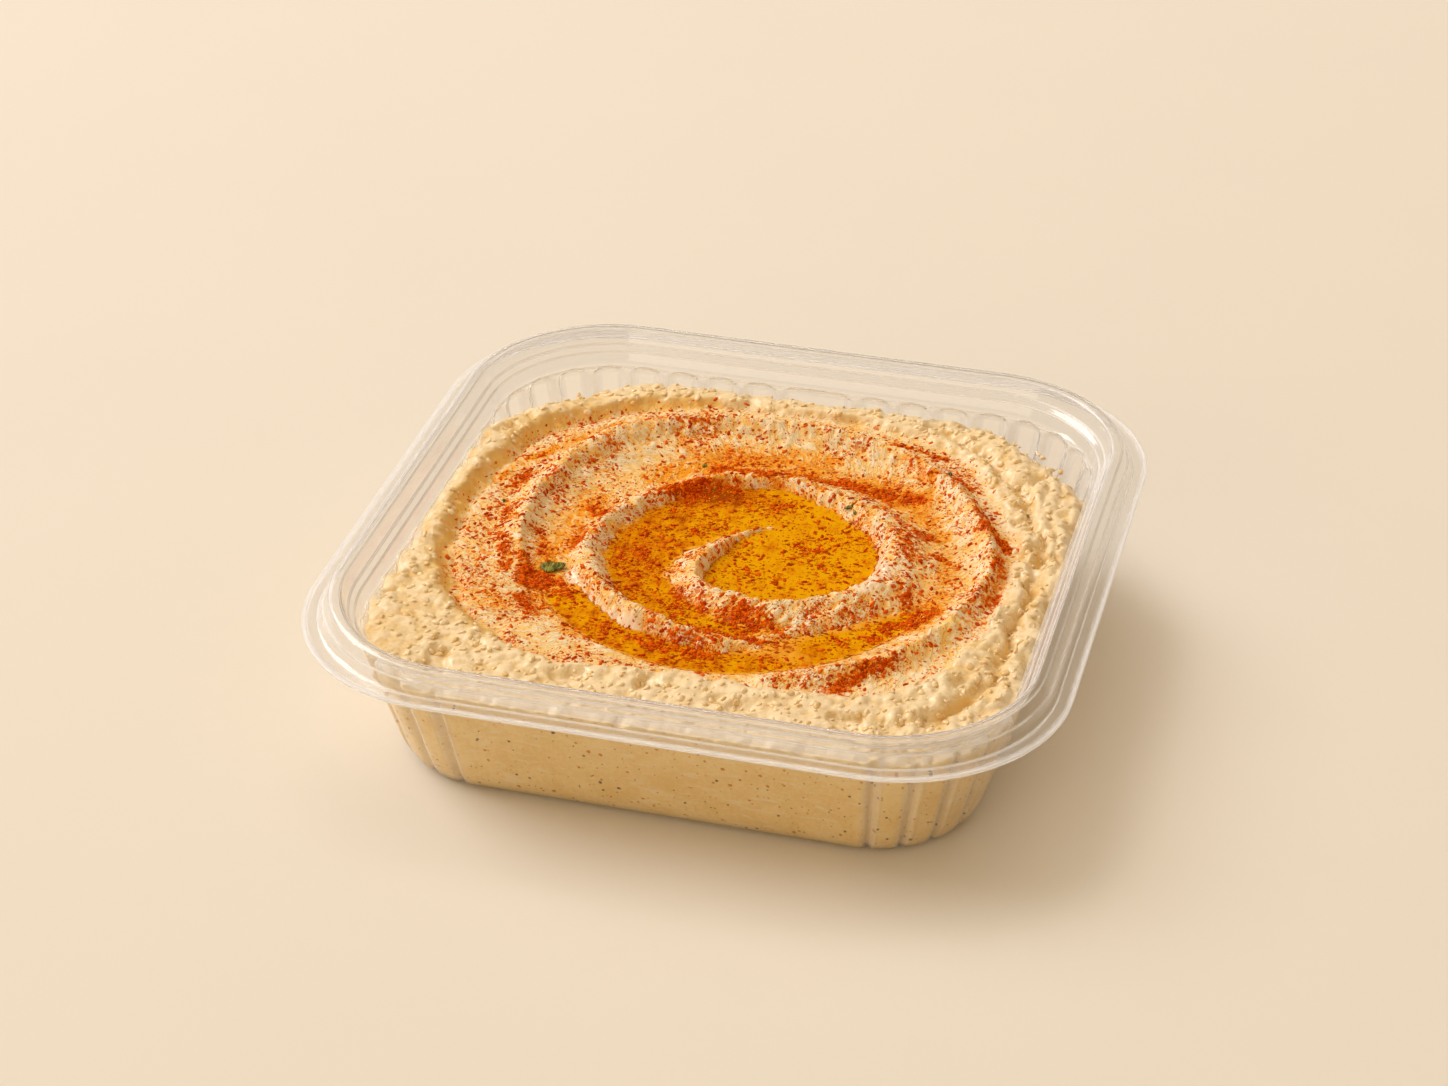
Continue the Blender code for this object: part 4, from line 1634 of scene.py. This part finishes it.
    def paint_fields(
        self, x: Array, y: Array, height: Array, share: Array, rough: Array
    ) -> Dict[str, Array]:
        """Where the surface is stained, dusted and wet, and where wet bands get a painted sheen.

        Args:
            x: X of each place, in millimetres.
            y: Y of each place, in millimetres.
            height: Height of the surface.
            share: Where each place lies against the border's inner line.
            rough: 1 in the border and 0 elsewhere.

        Returns:
            The paint for each place, by name.
        """
        grain = self.grain
        middle = 1.0 - ease((share - 0.94) / 0.08)
        bare_and_sheen_sum = laid(BARE_AND_SHEEN, x, y)
        bare_and_sheen = np.clip(bare_and_sheen_sum, 0.0, 1.0)
        patches = ease((grain.rough(x, y, 7.0, 3, 81) + 0.4) / 0.9)
        scatter = (0.25 + 0.55 * patches**2) * middle * (1.0 - 0.8 * bare_and_sheen)
        afloat = ease((self.oil_level - height) / 0.3)
        scatter = scatter * (1.0 - afloat * (0.1 + 0.2 * ease((x + 4.0) / 10.0)))
        bent_x = x + 0.7 * grain.flow(x, y, 1.6, 85)
        bent_y = y + 0.7 * grain.flow(x, y, 1.6, 86)
        blobs = ease((grain.lumps(bent_x, bent_y, 2.5, 83) - 0.42) / 0.25)
        blobs = np.maximum(blobs, 0.8 * ease((grain.lumps(bent_y, bent_x, 1.3, 84) - 0.48) / 0.25))
        near_spice = np.minimum(laid(SPICE, x, y), 1.35) * (1.0 - 0.8 * rough) * (1.0 - 0.6 * bare_and_sheen)
        gathered = near_spice * (0.14 + 1.25 * blobs) * (0.65 + 0.45 * patches)
        shore = bell(np.clip(height - self.oil_level, 0.0, None), 0.55) * middle
        soaked = laid(OIL, x, y) * (0.75 + 0.35 * patches)
        stain = (0.7 * shore + 0.85 * soaked + 0.8 * near_spice + 0.07 * middle) * (1.0 - 0.75 * bare_and_sheen)
        # Painted sheen: inside the swirl, strong bare trails are lightened and made wet.
        edge = ease((bare_and_sheen_sum - 0.35) / 0.3) * (np.hypot(x, y) < 31.0)
        wet = np.clip(0.9 * shore + 0.55 * soaked + edge, 0.0, 1.0)
        return {
            "dust": np.clip(scatter + gathered, 0.0, 2.0),
            "gathered": np.clip(gathered - 0.25, 0.0, 1.6),
            "stain": np.clip(stain * middle, 0.0, 1.4),
            "wet": wet * middle,
            "bare_and_sheen": edge * middle,
        }

    def grid(self) -> Dict[str, Array]:
        """Places of a square grid pushed into the tray's outline, with the surface on them.

        Returns:
            The grid's places, the surface's height and the paint, by name.
        """
        count = self.cells + 1
        line = np.linspace(-1.0, 1.0, count)
        u, v = (axis.ravel() for axis in np.meshgrid(line, line))
        share = np.maximum(np.abs(u), np.abs(v))
        safe = np.where(share < TINY, 1.0, share)
        across = u / safe
        along = v / safe
        side = np.select(
            [
                (across >= 1.0 - TINY) & (np.abs(along) <= 1.0),
                along >= 1.0 - TINY,
                across <= -1.0 + TINY,
            ],
            [0, 1, 2],
            3,
        ).astype(float)
        station = np.select([side == 0, side == 1, side == 2], [along, -across, -along], across)
        into_wall = 0.5 * self.tub.sheet
        wall_x, wall_y = self.tub.wall_point(station, side, np.full(len(u), self.wall_z), into_wall)
        edge = self.surface(wall_x, wall_y, np.zeros_like(wall_x))
        wall_x, wall_y = self.tub.wall_point(station, side, edge["height"], into_wall)
        x = wall_x * share
        y = wall_y * share
        inland = (1.0 - share) * self.wall_distance
        fields = self.surface(x, y, inland)
        fields.update({"x": x, "y": y, "station": station, "side_number": side, "share": share})
        return fields

    def quads(self) -> Array:
        """Indices of the four places of each of the grid's cells, anticlockwise."""
        count = self.cells + 1
        line = np.arange(self.cells)
        corner = (line[:, None] * count + line[None, :]).ravel()
        return np.stack([corner, corner + 1, corner + count + 1, corner + count], 1)

    def rim_order(self) -> Array:
        """Indices of the grid's outermost places, anticlockwise from the front left corner."""
        count = self.cells + 1
        bottom = np.arange(count - 1)
        right = (count - 1) + count * np.arange(count - 1)
        top = count * count - 1 - np.arange(count - 1)
        left = count * (count - 1) - count * np.arange(count - 1)
        return np.concatenate([bottom, right, top, left])

    def build(self, fields: Dict[str, Array]) -> bpy.types.Object:
        """The dip's closed mesh, whose sides reach just into the tray's wall.

        Args:
            fields: The grid.

        Returns:
            The dip.
        """
        points = [np.stack([fields["x"], fields["y"], fields["height"]], 1)]
        faces: List[Any] = self.quads().tolist()
        rim = self.rim_order()
        station = fields["station"][rim]
        side = fields["side_number"][rim]
        top = fields["height"][rim]
        into_wall = 0.5 * self.tub.sheet
        above = rim
        base = len(fields["x"])
        for share in self.side_rings:
            level = top + share * (into_wall - top)
            x, y = self.tub.wall_point(station, side, np.maximum(level, self.tub.sheet), into_wall)
            points.append(np.stack([x, y, level], 1))
            here = base + np.arange(len(rim))
            ahead = np.roll(here, -1)
            faces += np.stack([here, ahead, np.roll(above, -1), above], 1).tolist()
            above = here
            base += len(rim)
        faces.append(tuple(int(index) for index in above[::-1]))
        item = make_mesh("hummus_dip", np.concatenate(points), faces)
        walls = len(self.side_rings) * len(rim)
        inner = fields["share"] < self.painted_to
        for name in ("stain", "dust", "wet", "bare_and_sheen", "crease_shade", "rough", "sweep", "drift", "combed"):
            paint(item, name, np.concatenate([fields[name] * inner, np.zeros(walls)]))
        flank = np.where(fields["share"] > self.wall_from, 1.0, 0.0)
        paint(item, "side", np.concatenate([flank, np.ones(walls)]))
        return item

    def skin(self, fields: Dict[str, Array]) -> bpy.types.Object:
        """An open sheet over dip and oil, on which grains are scattered before it is removed.

        Args:
            fields: The grid.

        Returns:
            The sheet.
        """
        height = np.maximum(fields["height"], self.oil_level + 0.02)
        points = np.stack([fields["x"], fields["y"], height], 1)
        item = make_mesh("skin", points, self.quads().tolist())
        inner = (fields["share"] < self.scattered_to).astype(float)
        for name in ("dust", "gathered", "rough"):
            paint(item, name, fields[name] * inner)
        return item


# Oil


@dataclass
class OilPool:
    """One pool of oil: a flat top with a small climb at its shore, over the dip's floor."""

    dip: Dip
    name: str
    low: Tuple[float, float]
    high: Tuple[float, float]
    climb: float = 0.16
    climb_reach: float = 0.28
    full_depth: float = 1.3

    def build(self, fields: Dict[str, Array]) -> bpy.types.Object:
        """The pool's closed mesh, cut from the dip's grid.

        Args:
            fields: The grid.

        Returns:
            The pool.
        """
        x, y, height = fields["x"], fields["y"], fields["height"]
        inside = (x > self.low[0]) & (x < self.high[0]) & (y > self.low[1]) & (y < self.high[1])
        depth = self.dip.oil_level - height
        wetted = (depth > -self.climb_reach) & inside
        quads = self.dip.quads()
        quads = self.largest(quads[wetted[quads].all(1)])
        used, flat = np.unique(quads, return_inverse=True)
        quads = flat.reshape(quads.shape)
        climb = self.climb * bell(np.clip(depth[used], 0.0, None), self.climb_reach)
        top = self.dip.oil_level + climb
        under = np.minimum(height[used] - 0.12, top - 0.25)
        upper = np.stack([x[used], y[used], top], 1)
        lower = np.stack([x[used], y[used], under], 1)
        faces = quads.tolist() + (quads[:, ::-1] + len(used)).tolist()
        edges = {}
        for a, b, c, d in quads.tolist():
            for pair in ((a, b), (b, c), (c, d), (d, a)):
                edges[pair] = True
        for first, second in edges:
            if (second, first) not in edges:
                faces.append((second, first, first + len(used), second + len(used)))
        item = make_mesh(self.name, np.concatenate([upper, lower]), faces)
        deep = np.clip(depth[used] / self.full_depth, 0.0, 1.0)
        warm = self.warmth(x[used], y[used])
        loose = fields["dust"][used]
        for name, values in (("depth", deep), ("amber", warm), ("dust", loose)):
            paint(item, name, np.concatenate([values, values]))
        return item

    @staticmethod
    def largest(quads: Array) -> Array:
        """The quads of the largest connected patch.

        Args:
            quads: Vertex indices of each quad.

        Returns:
            Those of the patch.
        """
        parent: Dict[int, int] = {}

        def root(index: int) -> int:
            """Representative of a vertex's patch."""
            while parent.setdefault(index, index) != index:
                parent[index] = parent[parent[index]]
                index = parent[index]
            return index

        for quad in quads.tolist():
            anchor = root(quad[0])
            for other in quad[1:]:
                parent[root(other)] = anchor
        roots = np.array([root(quad[0]) for quad in quads.tolist()])
        names, counts = np.unique(roots, return_counts=True)
        return quads[roots == names[np.argmax(counts)]]

    @staticmethod
    def warmth(x: Array, y: Array) -> Array:
        """How amber the oil is.

        Args:
            x: X of each place, in millimetres.
            y: Y of each place, in millimetres.

        Returns:
            Low in the middle, higher on the left, highest under the back left bank.
        """
        left = ease((-x - 2.0) / 12.0) * ease((26.0 - np.hypot(x, y)) / 3.0)
        bank = bell(np.hypot((x + 10.0) / 1.6, y - 19.5), 6.0) * ease((y - 12.0) / 8.0)
        front = 0.36 * ease((-y - 20.0) / 4.0)
        return 0.24 + 0.50 * left + 1.2 * bank + front


# Scattered grains


class Form(Enum):
    """Solid that a grain starts from."""

    CRUMB = "eight-sided"
    FLAKE = "twenty-sided"
    NIB = "round"


class GrainTree(NodeMaker):
    """A Geometry Nodes tree that scatters one kind of grain over a sheet."""

    def __init__(self, name: str, numbers: Dict[str, float], material: bpy.types.Material) -> None:
        """Makes the tree.

        Args:
            name: Name of the tree.
            numbers: Named sizes, each of which becomes an input.
            material: Material of the grains.
        """
        super().__init__(bpy.data.node_groups.new(name, "GeometryNodeTree"))
        self.tree.interface.new_socket("Sheet", in_out="INPUT", socket_type="NodeSocketGeometry")
        for key, value in numbers.items():
            socket = self.tree.interface.new_socket(key, in_out="INPUT", socket_type="NodeSocketFloat")
            socket.default_value = value
        self.tree.interface.new_socket("Grains", in_out="OUTPUT", socket_type="NodeSocketGeometry")
        self.given = self.node("NodeGroupInput")
        self.numbers = numbers
        self.material = material

    def number(self, name: str) -> Term:
        """A named input of the tree."""
        return Term(self, self.given.outputs[name])

    def random(self, low: Any, high: Any, seed: int, kind: str = "FLOAT") -> bpy.types.NodeSocket:
        """A random number or vector for each point.

        Args:
            low: Smallest value.
            high: Largest value.
            seed: Seed of the choice.
            kind: Type of the value.

        Returns:
            The value's socket.
        """
        first, output = {"FLOAT": (2, 1), "FLOAT_VECTOR": (0, 0)}[kind]
        inputs = {first: low, first + 1: high, "Seed": seed}
        return self.node("FunctionNodeRandomValue", {"data_type": kind}, inputs).outputs[output]

    def seedling(self, form: Form) -> bpy.types.Node:
        """The solid of one grain, one unit across.

        Args:
            form: Which solid.

        Returns:
            The node that makes it.
        """
        if form is Form.CRUMB:
            return self.node("GeometryNodeMeshUVSphere", {}, {"Segments": 4, "Rings": 2, "Radius": 0.5})
        fineness = 1 if form is Form.FLAKE else 2
        return self.node("GeometryNodeMeshIcoSphere", {}, {"Radius": 0.5, "Subdivisions": fineness})

    def finish(
        self,
        density_name: str,
        seed: int,
        shape: Tuple[float, float, float],
        form: Form,
        dent: float,
        tilt: float,
    ) -> None:
        """Adds the nodes of the scatter.

        Args:
            density_name: Vertex paint that says where grains lie.
            seed: Seed of every random choice.
            shape: Length, width and height of a grain against its size.
            form: Solid that a grain starts from.
            dent: Depth of a grain's dents against its size.
            tilt: Largest angle by which a grain leans, in radians.
        """
        named = self.node("GeometryNodeInputNamedAttribute", {"data_type": "FLOAT"}, {"Name": density_name})
        density = self.number("Per square metre") * Term(self, named.outputs[0])
        places = self.node(
            "GeometryNodeDistributePointsOnFaces",
            {"distribute_method": "RANDOM"},
            {"Mesh": self.given.outputs["Sheet"], "Density": density, "Seed": seed},
        )
        grain = self.seedling(form)
        formed = self.node("GeometryNodeTransform", {}, {"Geometry": grain.outputs[0], "Scale": shape})
        draw = Term(self, self.random(0.0, 1.0, seed + 1))
        spread = self.number("Largest") - self.number("Smallest")
        size = self.number("Smallest") + spread * draw ** self.number("Rarity")
        lean = self.random((-tilt, -tilt, 0.0), (tilt, tilt, 2.0 * math.pi), seed + 2, "FLOAT_VECTOR")
        turn = self.node("FunctionNodeEulerToRotation", {}, {0: lean})
        facing = self.node(
            "FunctionNodeRotateRotation",
            {"rotation_space": "LOCAL"},
            {0: places.outputs["Rotation"], 1: turn.outputs[0]},
        )
        copies = self.node(
            "GeometryNodeInstanceOnPoints",
            {},
            {
                "Points": places.outputs[0],
                "Instance": formed.outputs[0],
                "Rotation": facing.outputs[0],
                "Scale": size,
            },
        )
        toned = self.node(
            "GeometryNodeStoreNamedAttribute",
            {"data_type": "FLOAT", "domain": "INSTANCE"},
            {0: copies.outputs[0], "Name": "tint", "Value": self.random(0.0, 1.0, seed + 3)},
        )
        # A random share of the paste's painted shade, which the nibs take.
        shaded = self.node(
            "GeometryNodeStoreNamedAttribute",
            {"data_type": "FLOAT", "domain": "INSTANCE"},
            {0: toned.outputs[0], "Name": "crease_shade", "Value": self.random(0.1, 0.6, seed + 4)},
        )
        real = self.node("GeometryNodeRealizeInstances", {}, {0: shaded.outputs[0]})
        place = self.node("GeometryNodeInputPosition").outputs[0]
        wave = {"Vector": place, "Scale": 1.0 / self.numbers["Largest"], "Detail": 1.0}
        push = self.node("ShaderNodeTexNoise", {}, wave).outputs["Color"]
        centred = self.node("ShaderNodeVectorMath", {"operation": "SUBTRACT"}, {0: push, 1: (0.5, 0.5, 0.5)})
        scaled = self.node(
            "ShaderNodeVectorMath",
            {"operation": "SCALE"},
            {0: centred.outputs[0], "Scale": self.number("Largest") * dent},
        )
        dented = self.node("GeometryNodeSetPosition", {}, {0: real.outputs[0], "Offset": scaled.outputs[0]})
        smooth = self.node("GeometryNodeSetShadeSmooth", {}, {0: dented.outputs[0]})
        dressed = self.node("GeometryNodeSetMaterial", {}, {0: smooth.outputs[0], "Material": self.material})
        self.node("NodeGroupOutput", {}, {0: dressed.outputs[0]})

    def scatter(self, name: str, sheet: bpy.types.Object) -> bpy.types.Object:
        """Runs the tree on a sheet and returns the grains as one plain mesh.

        Args:
            name: Name of the new piece.
            sheet: The sheet with its vertex paint.

        Returns:
            The new piece.
        """
        modifier = sheet.modifiers.new(name, "NODES")
        modifier.node_group = self.tree
        for socket in self.tree.interface.items_tree:
            if socket.in_out == "INPUT" and socket.name in self.numbers:
                modifier[socket.identifier] = self.numbers[socket.name]
        evaluated = sheet.evaluated_get(bpy.context.evaluated_depsgraph_get())
        mesh = bpy.data.meshes.new_from_object(evaluated)
        sheet.modifiers.remove(modifier)
        mesh.name = name
        item = bpy.data.objects.new(name, mesh)
        bpy.context.scene.collection.objects.link(item)
        return item


@dataclass(frozen=True)
class GrainKind:
    """One kind of scattered grain, with sizes in millimetres.

    Rarity above 1 makes large grains rarer than small ones. Shape is a grain's length, width and height
    against its size, dent the depth of its dents against its size, and tilt the largest lean in radians.
    """

    name: str
    paint_name: str
    per_square_mm: float
    smallest: float
    largest: float
    rarity: float
    shape: Tuple[float, float, float]
    form: Form
    dent: float
    tilt: float
    seed: int

    def build(self, sheet: bpy.types.Object, material: bpy.types.Material) -> bpy.types.Object:
        """Scatters the grains over a sheet.

        Args:
            sheet: The sheet with its vertex paint.
            material: Material of the grains.

        Returns:
            The new piece.
        """
        numbers = {
            "Per square metre": self.per_square_mm / (MM * MM),
            "Smallest": self.smallest * MM,
            "Largest": self.largest * MM,
            "Rarity": self.rarity,
        }
        tree = GrainTree(self.name, numbers, material)
        tree.finish(self.paint_name, self.seed, self.shape, self.form, self.dent, self.tilt)
        return tree.scatter(self.name, sheet)


NIBS = GrainKind(
    name="paste_nibs",
    paint_name="rough",
    per_square_mm=0.30,
    smallest=0.45,
    largest=1.25,
    rarity=1.7,
    shape=(1.4, 1.0, 0.6),
    form=Form.NIB,
    dent=0.5,
    tilt=0.35,
    seed=3,
)
DUST = GrainKind(
    name="paprika_dust",
    paint_name="dust",
    per_square_mm=4.8,
    smallest=0.16,
    largest=0.46,
    rarity=2.0,
    shape=(1.4, 0.9, 0.5),
    form=Form.CRUMB,
    dent=0.2,
    tilt=0.3,
    seed=5,
)
FLAKES = GrainKind(
    name="paprika_flakes",
    paint_name="dust",
    per_square_mm=1.5,
    smallest=0.28,
    largest=0.95,
    rarity=2.4,
    shape=(1.6, 0.8, 0.4),
    form=Form.FLAKE,
    dent=0.3,
    tilt=0.35,
    seed=9,
)
CLUMPS = GrainKind(
    name="paprika_clumps",
    paint_name="gathered",
    per_square_mm=3.0,
    smallest=0.3,
    largest=0.9,
    rarity=1.8,
    shape=(1.4, 0.9, 0.6),
    form=Form.FLAKE,
    dent=0.35,
    tilt=0.5,
    seed=17,
)


# Herbs


@dataclass(frozen=True)
class HerbBit:
    """One chopped bit of leaf: a thin cupped oval that lies on the dip."""

    place: Tuple[float, float]
    length: float
    width: float
    turn: float
    tilt: float = 0.2
    cup: float = 0.12
    thick: float = 0.35

    def shape(self, ground: float, start: int) -> Tuple[Array, List[Tuple[int, ...]]]:
        """The bit's points and faces.

        Args:
            ground: Height of the surface that it lies on.
            start: Number of its first point.

        Returns:
            Points in millimetres, and faces.
        """
        around = 14
        angle = np.linspace(0.0, 2.0 * math.pi, around, endpoint=False)
        wavy = 1.0 + 0.10 * np.sin(3.0 * angle + 9.0 * self.turn) + 0.06 * np.sin(5.0 * angle + self.length)
        rings = ((0.55, 1.0), (0.92, 0.8), (1.0, 0.35), (0.94, -0.3), (0.6, -0.6))
        points = []
        for reach, rise in rings:
            u = 0.5 * self.length * reach * wavy * np.cos(angle)
            v = 0.5 * self.width * reach * wavy * np.sin(angle)
            w = 0.5 * self.thick * rise + self.cup * self.length * (reach * reach - 0.4) * np.cos(angle) ** 2
            points.append(np.stack([u, v, w + self.tilt * u], 1))
        faces = []
        for index in range(len(rings) - 1):
            faces += band(start + (index + 1) * around, start + index * around, around)
        faces.append(tuple(start + index for index in range(around)))
        faces.append(tuple(start + len(rings) * around - 1 - index for index in range(around)))
        cloud = np.concatenate(points)
        cos, sin = math.cos(self.turn), math.sin(self.turn)
        x = self.place[0] + cloud[:, 0] * cos - cloud[:, 1] * sin
        y = self.place[1] + cloud[:, 0] * sin + cloud[:, 1] * cos
        return np.stack([x, y, ground + 0.3 * self.thick + cloud[:, 2]], 1), faces


@dataclass
class Herbs:
    """The few herb bits on the dip, all of them far inland of the wall."""

    dip: Dip
    inland: float = 20.0
    bits: Tuple[HerbBit, ...] = (
        HerbBit((-30.2, -12.4), 4.5, 3.1, 0.1, 0.1, 0.10, 0.7),
        HerbBit((15.0, 18.9), 1.8, 1.0, 0.6, 0.3),
        HerbBit((16.4, 17.6), 1.1, 0.7, 2.2, 0.2),
        HerbBit((19.6, 41.0), 1.6, 0.9, 0.3, 0.25),
        HerbBit((30.0, 33.4), 1.7, 1.0, 1.2, 0.3),
        HerbBit((-14.0, 27.6), 1.0, 0.7, 0.9, 0.1),
        HerbBit((-45.0, 5.6), 0.9, 0.6, 2.0, 0.1),
    )

    def build(self) -> bpy.types.Object:
        """One piece with every bit.

        Returns:
            The piece.
        """
        points = []
        faces: List[Tuple[int, ...]] = []
        count = 0
        for bit in self.bits:
            x = bit.place[0] + np.array([-0.4, 0.0, 0.4]) * bit.length
            y = np.full(3, bit.place[1])
            heights = self.dip.surface(x, y, np.full(3, self.inland))["height"]
            ground = max(float(heights.mean()), self.dip.oil_level)
            cloud, bands = bit.shape(ground, count)
            points.append(cloud)
            faces += bands
            count += len(cloud)
        return make_mesh("herb_bits", np.concatenate(points), faces)


# Studio


@dataclass(frozen=True)
class Lamp:
    """A soft rectangular lamp that points at the tub."""

    name: str
    azimuth: float
    elevation: float
    distance: float
    size: Tuple[float, float]
    watts: float
    colour: Colour = (1.0, 1.0, 1.0)
    shine: float = 1.0

    def build(self, target: Vector) -> None:
        """Adds the lamp.

        Args:
            target: Point that it faces, in metres.
        """
        light = bpy.data.lights.new(self.name, "AREA")
        light.shape = "RECTANGLE"
        light.size, light.size_y = self.size
        light.energy = self.watts
        light.color = self.colour
        light.specular_factor = self.shine
        turn = math.radians(self.azimuth)
        rise = math.radians(self.elevation)
        away = Vector((math.cos(turn) * math.cos(rise), math.sin(turn) * math.cos(rise), math.sin(rise)))
        item = bpy.data.objects.new(self.name, light)
        item.location = target + away * self.distance
        item.rotation_euler = away.to_track_quat("Z", "Y").to_euler()
        bpy.context.scene.collection.objects.link(item)


@dataclass
class Studio:
    """Floor, lamps, sky and camera."""

    lens: float = 83.03
    sensor: float = 36.0
    place: Tuple[float, float, float] = (0.12682, -0.47475, 0.33155)
    yaw: float = 15.273
    pitch: float = 32.046
    floor_half: float = 3.0
    sky: Colour = (1.0, 0.75, 0.44)
    sky_low: float = 0.50
    sky_high: float = 0.58
    lamps: Tuple[Lamp, ...] = (
        Lamp("key", 165.0, 38.0, 3.2, (2.2, 1.8), 74.0),
        Lamp("fill", -112.0, 20.0, 3.0, (2.2, 1.2), 13.0, (1.0, 0.86, 0.66), 0.35),
        Lamp("back", 95.0, 53.0, 1.8, (1.6, 0.5), 4.5),
    )

    def build(self) -> None:
        """Makes everything that is not part of the object."""
        half = self.floor_half / MM
        corners = np.array([(-half, -half, 0.0), (half, -half, 0.0), (half, half, 0.0), (-half, half, 0.0)])
        floor = make_mesh("floor", corners, [(0, 1, 2, 3)], smooth=False)
        floor.data.materials.append(Tabletop().material())
        for lamp in self.lamps:
            lamp.build(Vector((0.0, 0.0, 0.01)))
        self.build_sky()
        camera = bpy.data.cameras.new("camera")
        camera.lens = self.lens
        camera.sensor_width = self.sensor
        camera.clip_start = 0.01
        item = bpy.data.objects.new("camera", camera)
        item.location = self.place
        item.rotation_euler = Euler((math.radians(90.0 - self.pitch), 0.0, math.radians(self.yaw)))
        scene = bpy.context.scene
        scene.collection.objects.link(item)
        scene.camera = item
        scene.view_settings.view_transform = "Standard"
        scene.view_settings.look = "None"

    def build_sky(self) -> None:
        """A soft sky that is dim at the horizon and bright overhead."""
        scene = bpy.context.scene
        scene.world = bpy.data.worlds.new("studio")
        scene.world.use_nodes = True
        maker = NodeMaker(scene.world.node_tree)
        backdrop = scene.world.node_tree.nodes["Background"]
        place = maker.node("ShaderNodeTexCoord").outputs["Generated"]
        height = maker.node("ShaderNodeSeparateXYZ", {}, {0: place}).outputs[2]
        spread = {"From Min": 0.3, "From Max": 0.85, "To Min": self.sky_low, "To Max": self.sky_high}
        glow = maker.node(
            "ShaderNodeMapRange", {"interpolation_type": "SMOOTHSTEP"}, {"Value": height, **spread}
        )
        scene.world.node_tree.links.new(glow.outputs[0], backdrop.inputs["Strength"])
        backdrop.inputs["Color"].default_value = solid(self.sky)


def mount(item: bpy.types.Object, slot: str, *nodes: str) -> None:
    """Fixes a piece to the tub, hides the CAD nodes it stands for and reports it.

    Args:
        item: The piece.
        slot: The record's material slot; not used.
        nodes: CAD nodes that the piece stands for.
    """
    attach(item, "root")
    if nodes:
        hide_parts(*nodes)
    triangles = sum(len(face.vertices) - 2 for face in item.data.polygons)
    LOG.info("%s: %d triangles", item.name, triangles)


def main() -> None:
    """Builds the looks in order."""
    logging.basicConfig(level=logging.INFO, format="%(name)s %(message)s")
    low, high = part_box("tray")
    tub = Tub(width=(high.x - low.x) / MM, rim_z=high.z / MM)
    Studio().build()
    tray = tub.build()
    tray.data.materials.append(ClearPlastic().material())
    mount(tray, "clear_plastic", "tray")
    dip = Dip(tub)
    fields = dip.grid()
    paste = HummusPaste().material()
    hummus = dip.build(fields)
    hummus.data.materials.append(paste)
    mount(hummus, "hummus", "hummus")
    oil = OliveOil().material()
    pools = (
        (OilPool(dip, "oil_middle", (-25.0, -24.5), (24.0, 24.0)), "oil_centre"),
        (OilPool(dip, "oil_crescent", (-32.0, -42.0), (42.0, -9.0)), "oil_front"),
    )
    for pool, node in pools:
        item = pool.build(fields)
        item.data.materials.append(oil)
        mount(item, "olive_oil", node)
    skin = dip.skin(fields)
    brick = Spice("paprika_brick", (0.46, 0.035, 0.001), (0.82, 0.14, 0.003), 0.5).material()
    bright = Spice("paprika_bright", (0.78, 0.13, 0.002), (0.95, 0.36, 0.008), 0.55).material()
    for kind, material in ((NIBS, paste), (DUST, bright), (FLAKES, brick), (CLUMPS, brick)):
        mount(kind.build(skin, material), "hummus")
    herbs = Herbs(dip).build()
    herbs.data.materials.append(Herb().material())
    mount(herbs, "hummus")
    bpy.data.objects.remove(skin, do_unlink=True)


if __name__ == "__main__":
    main()
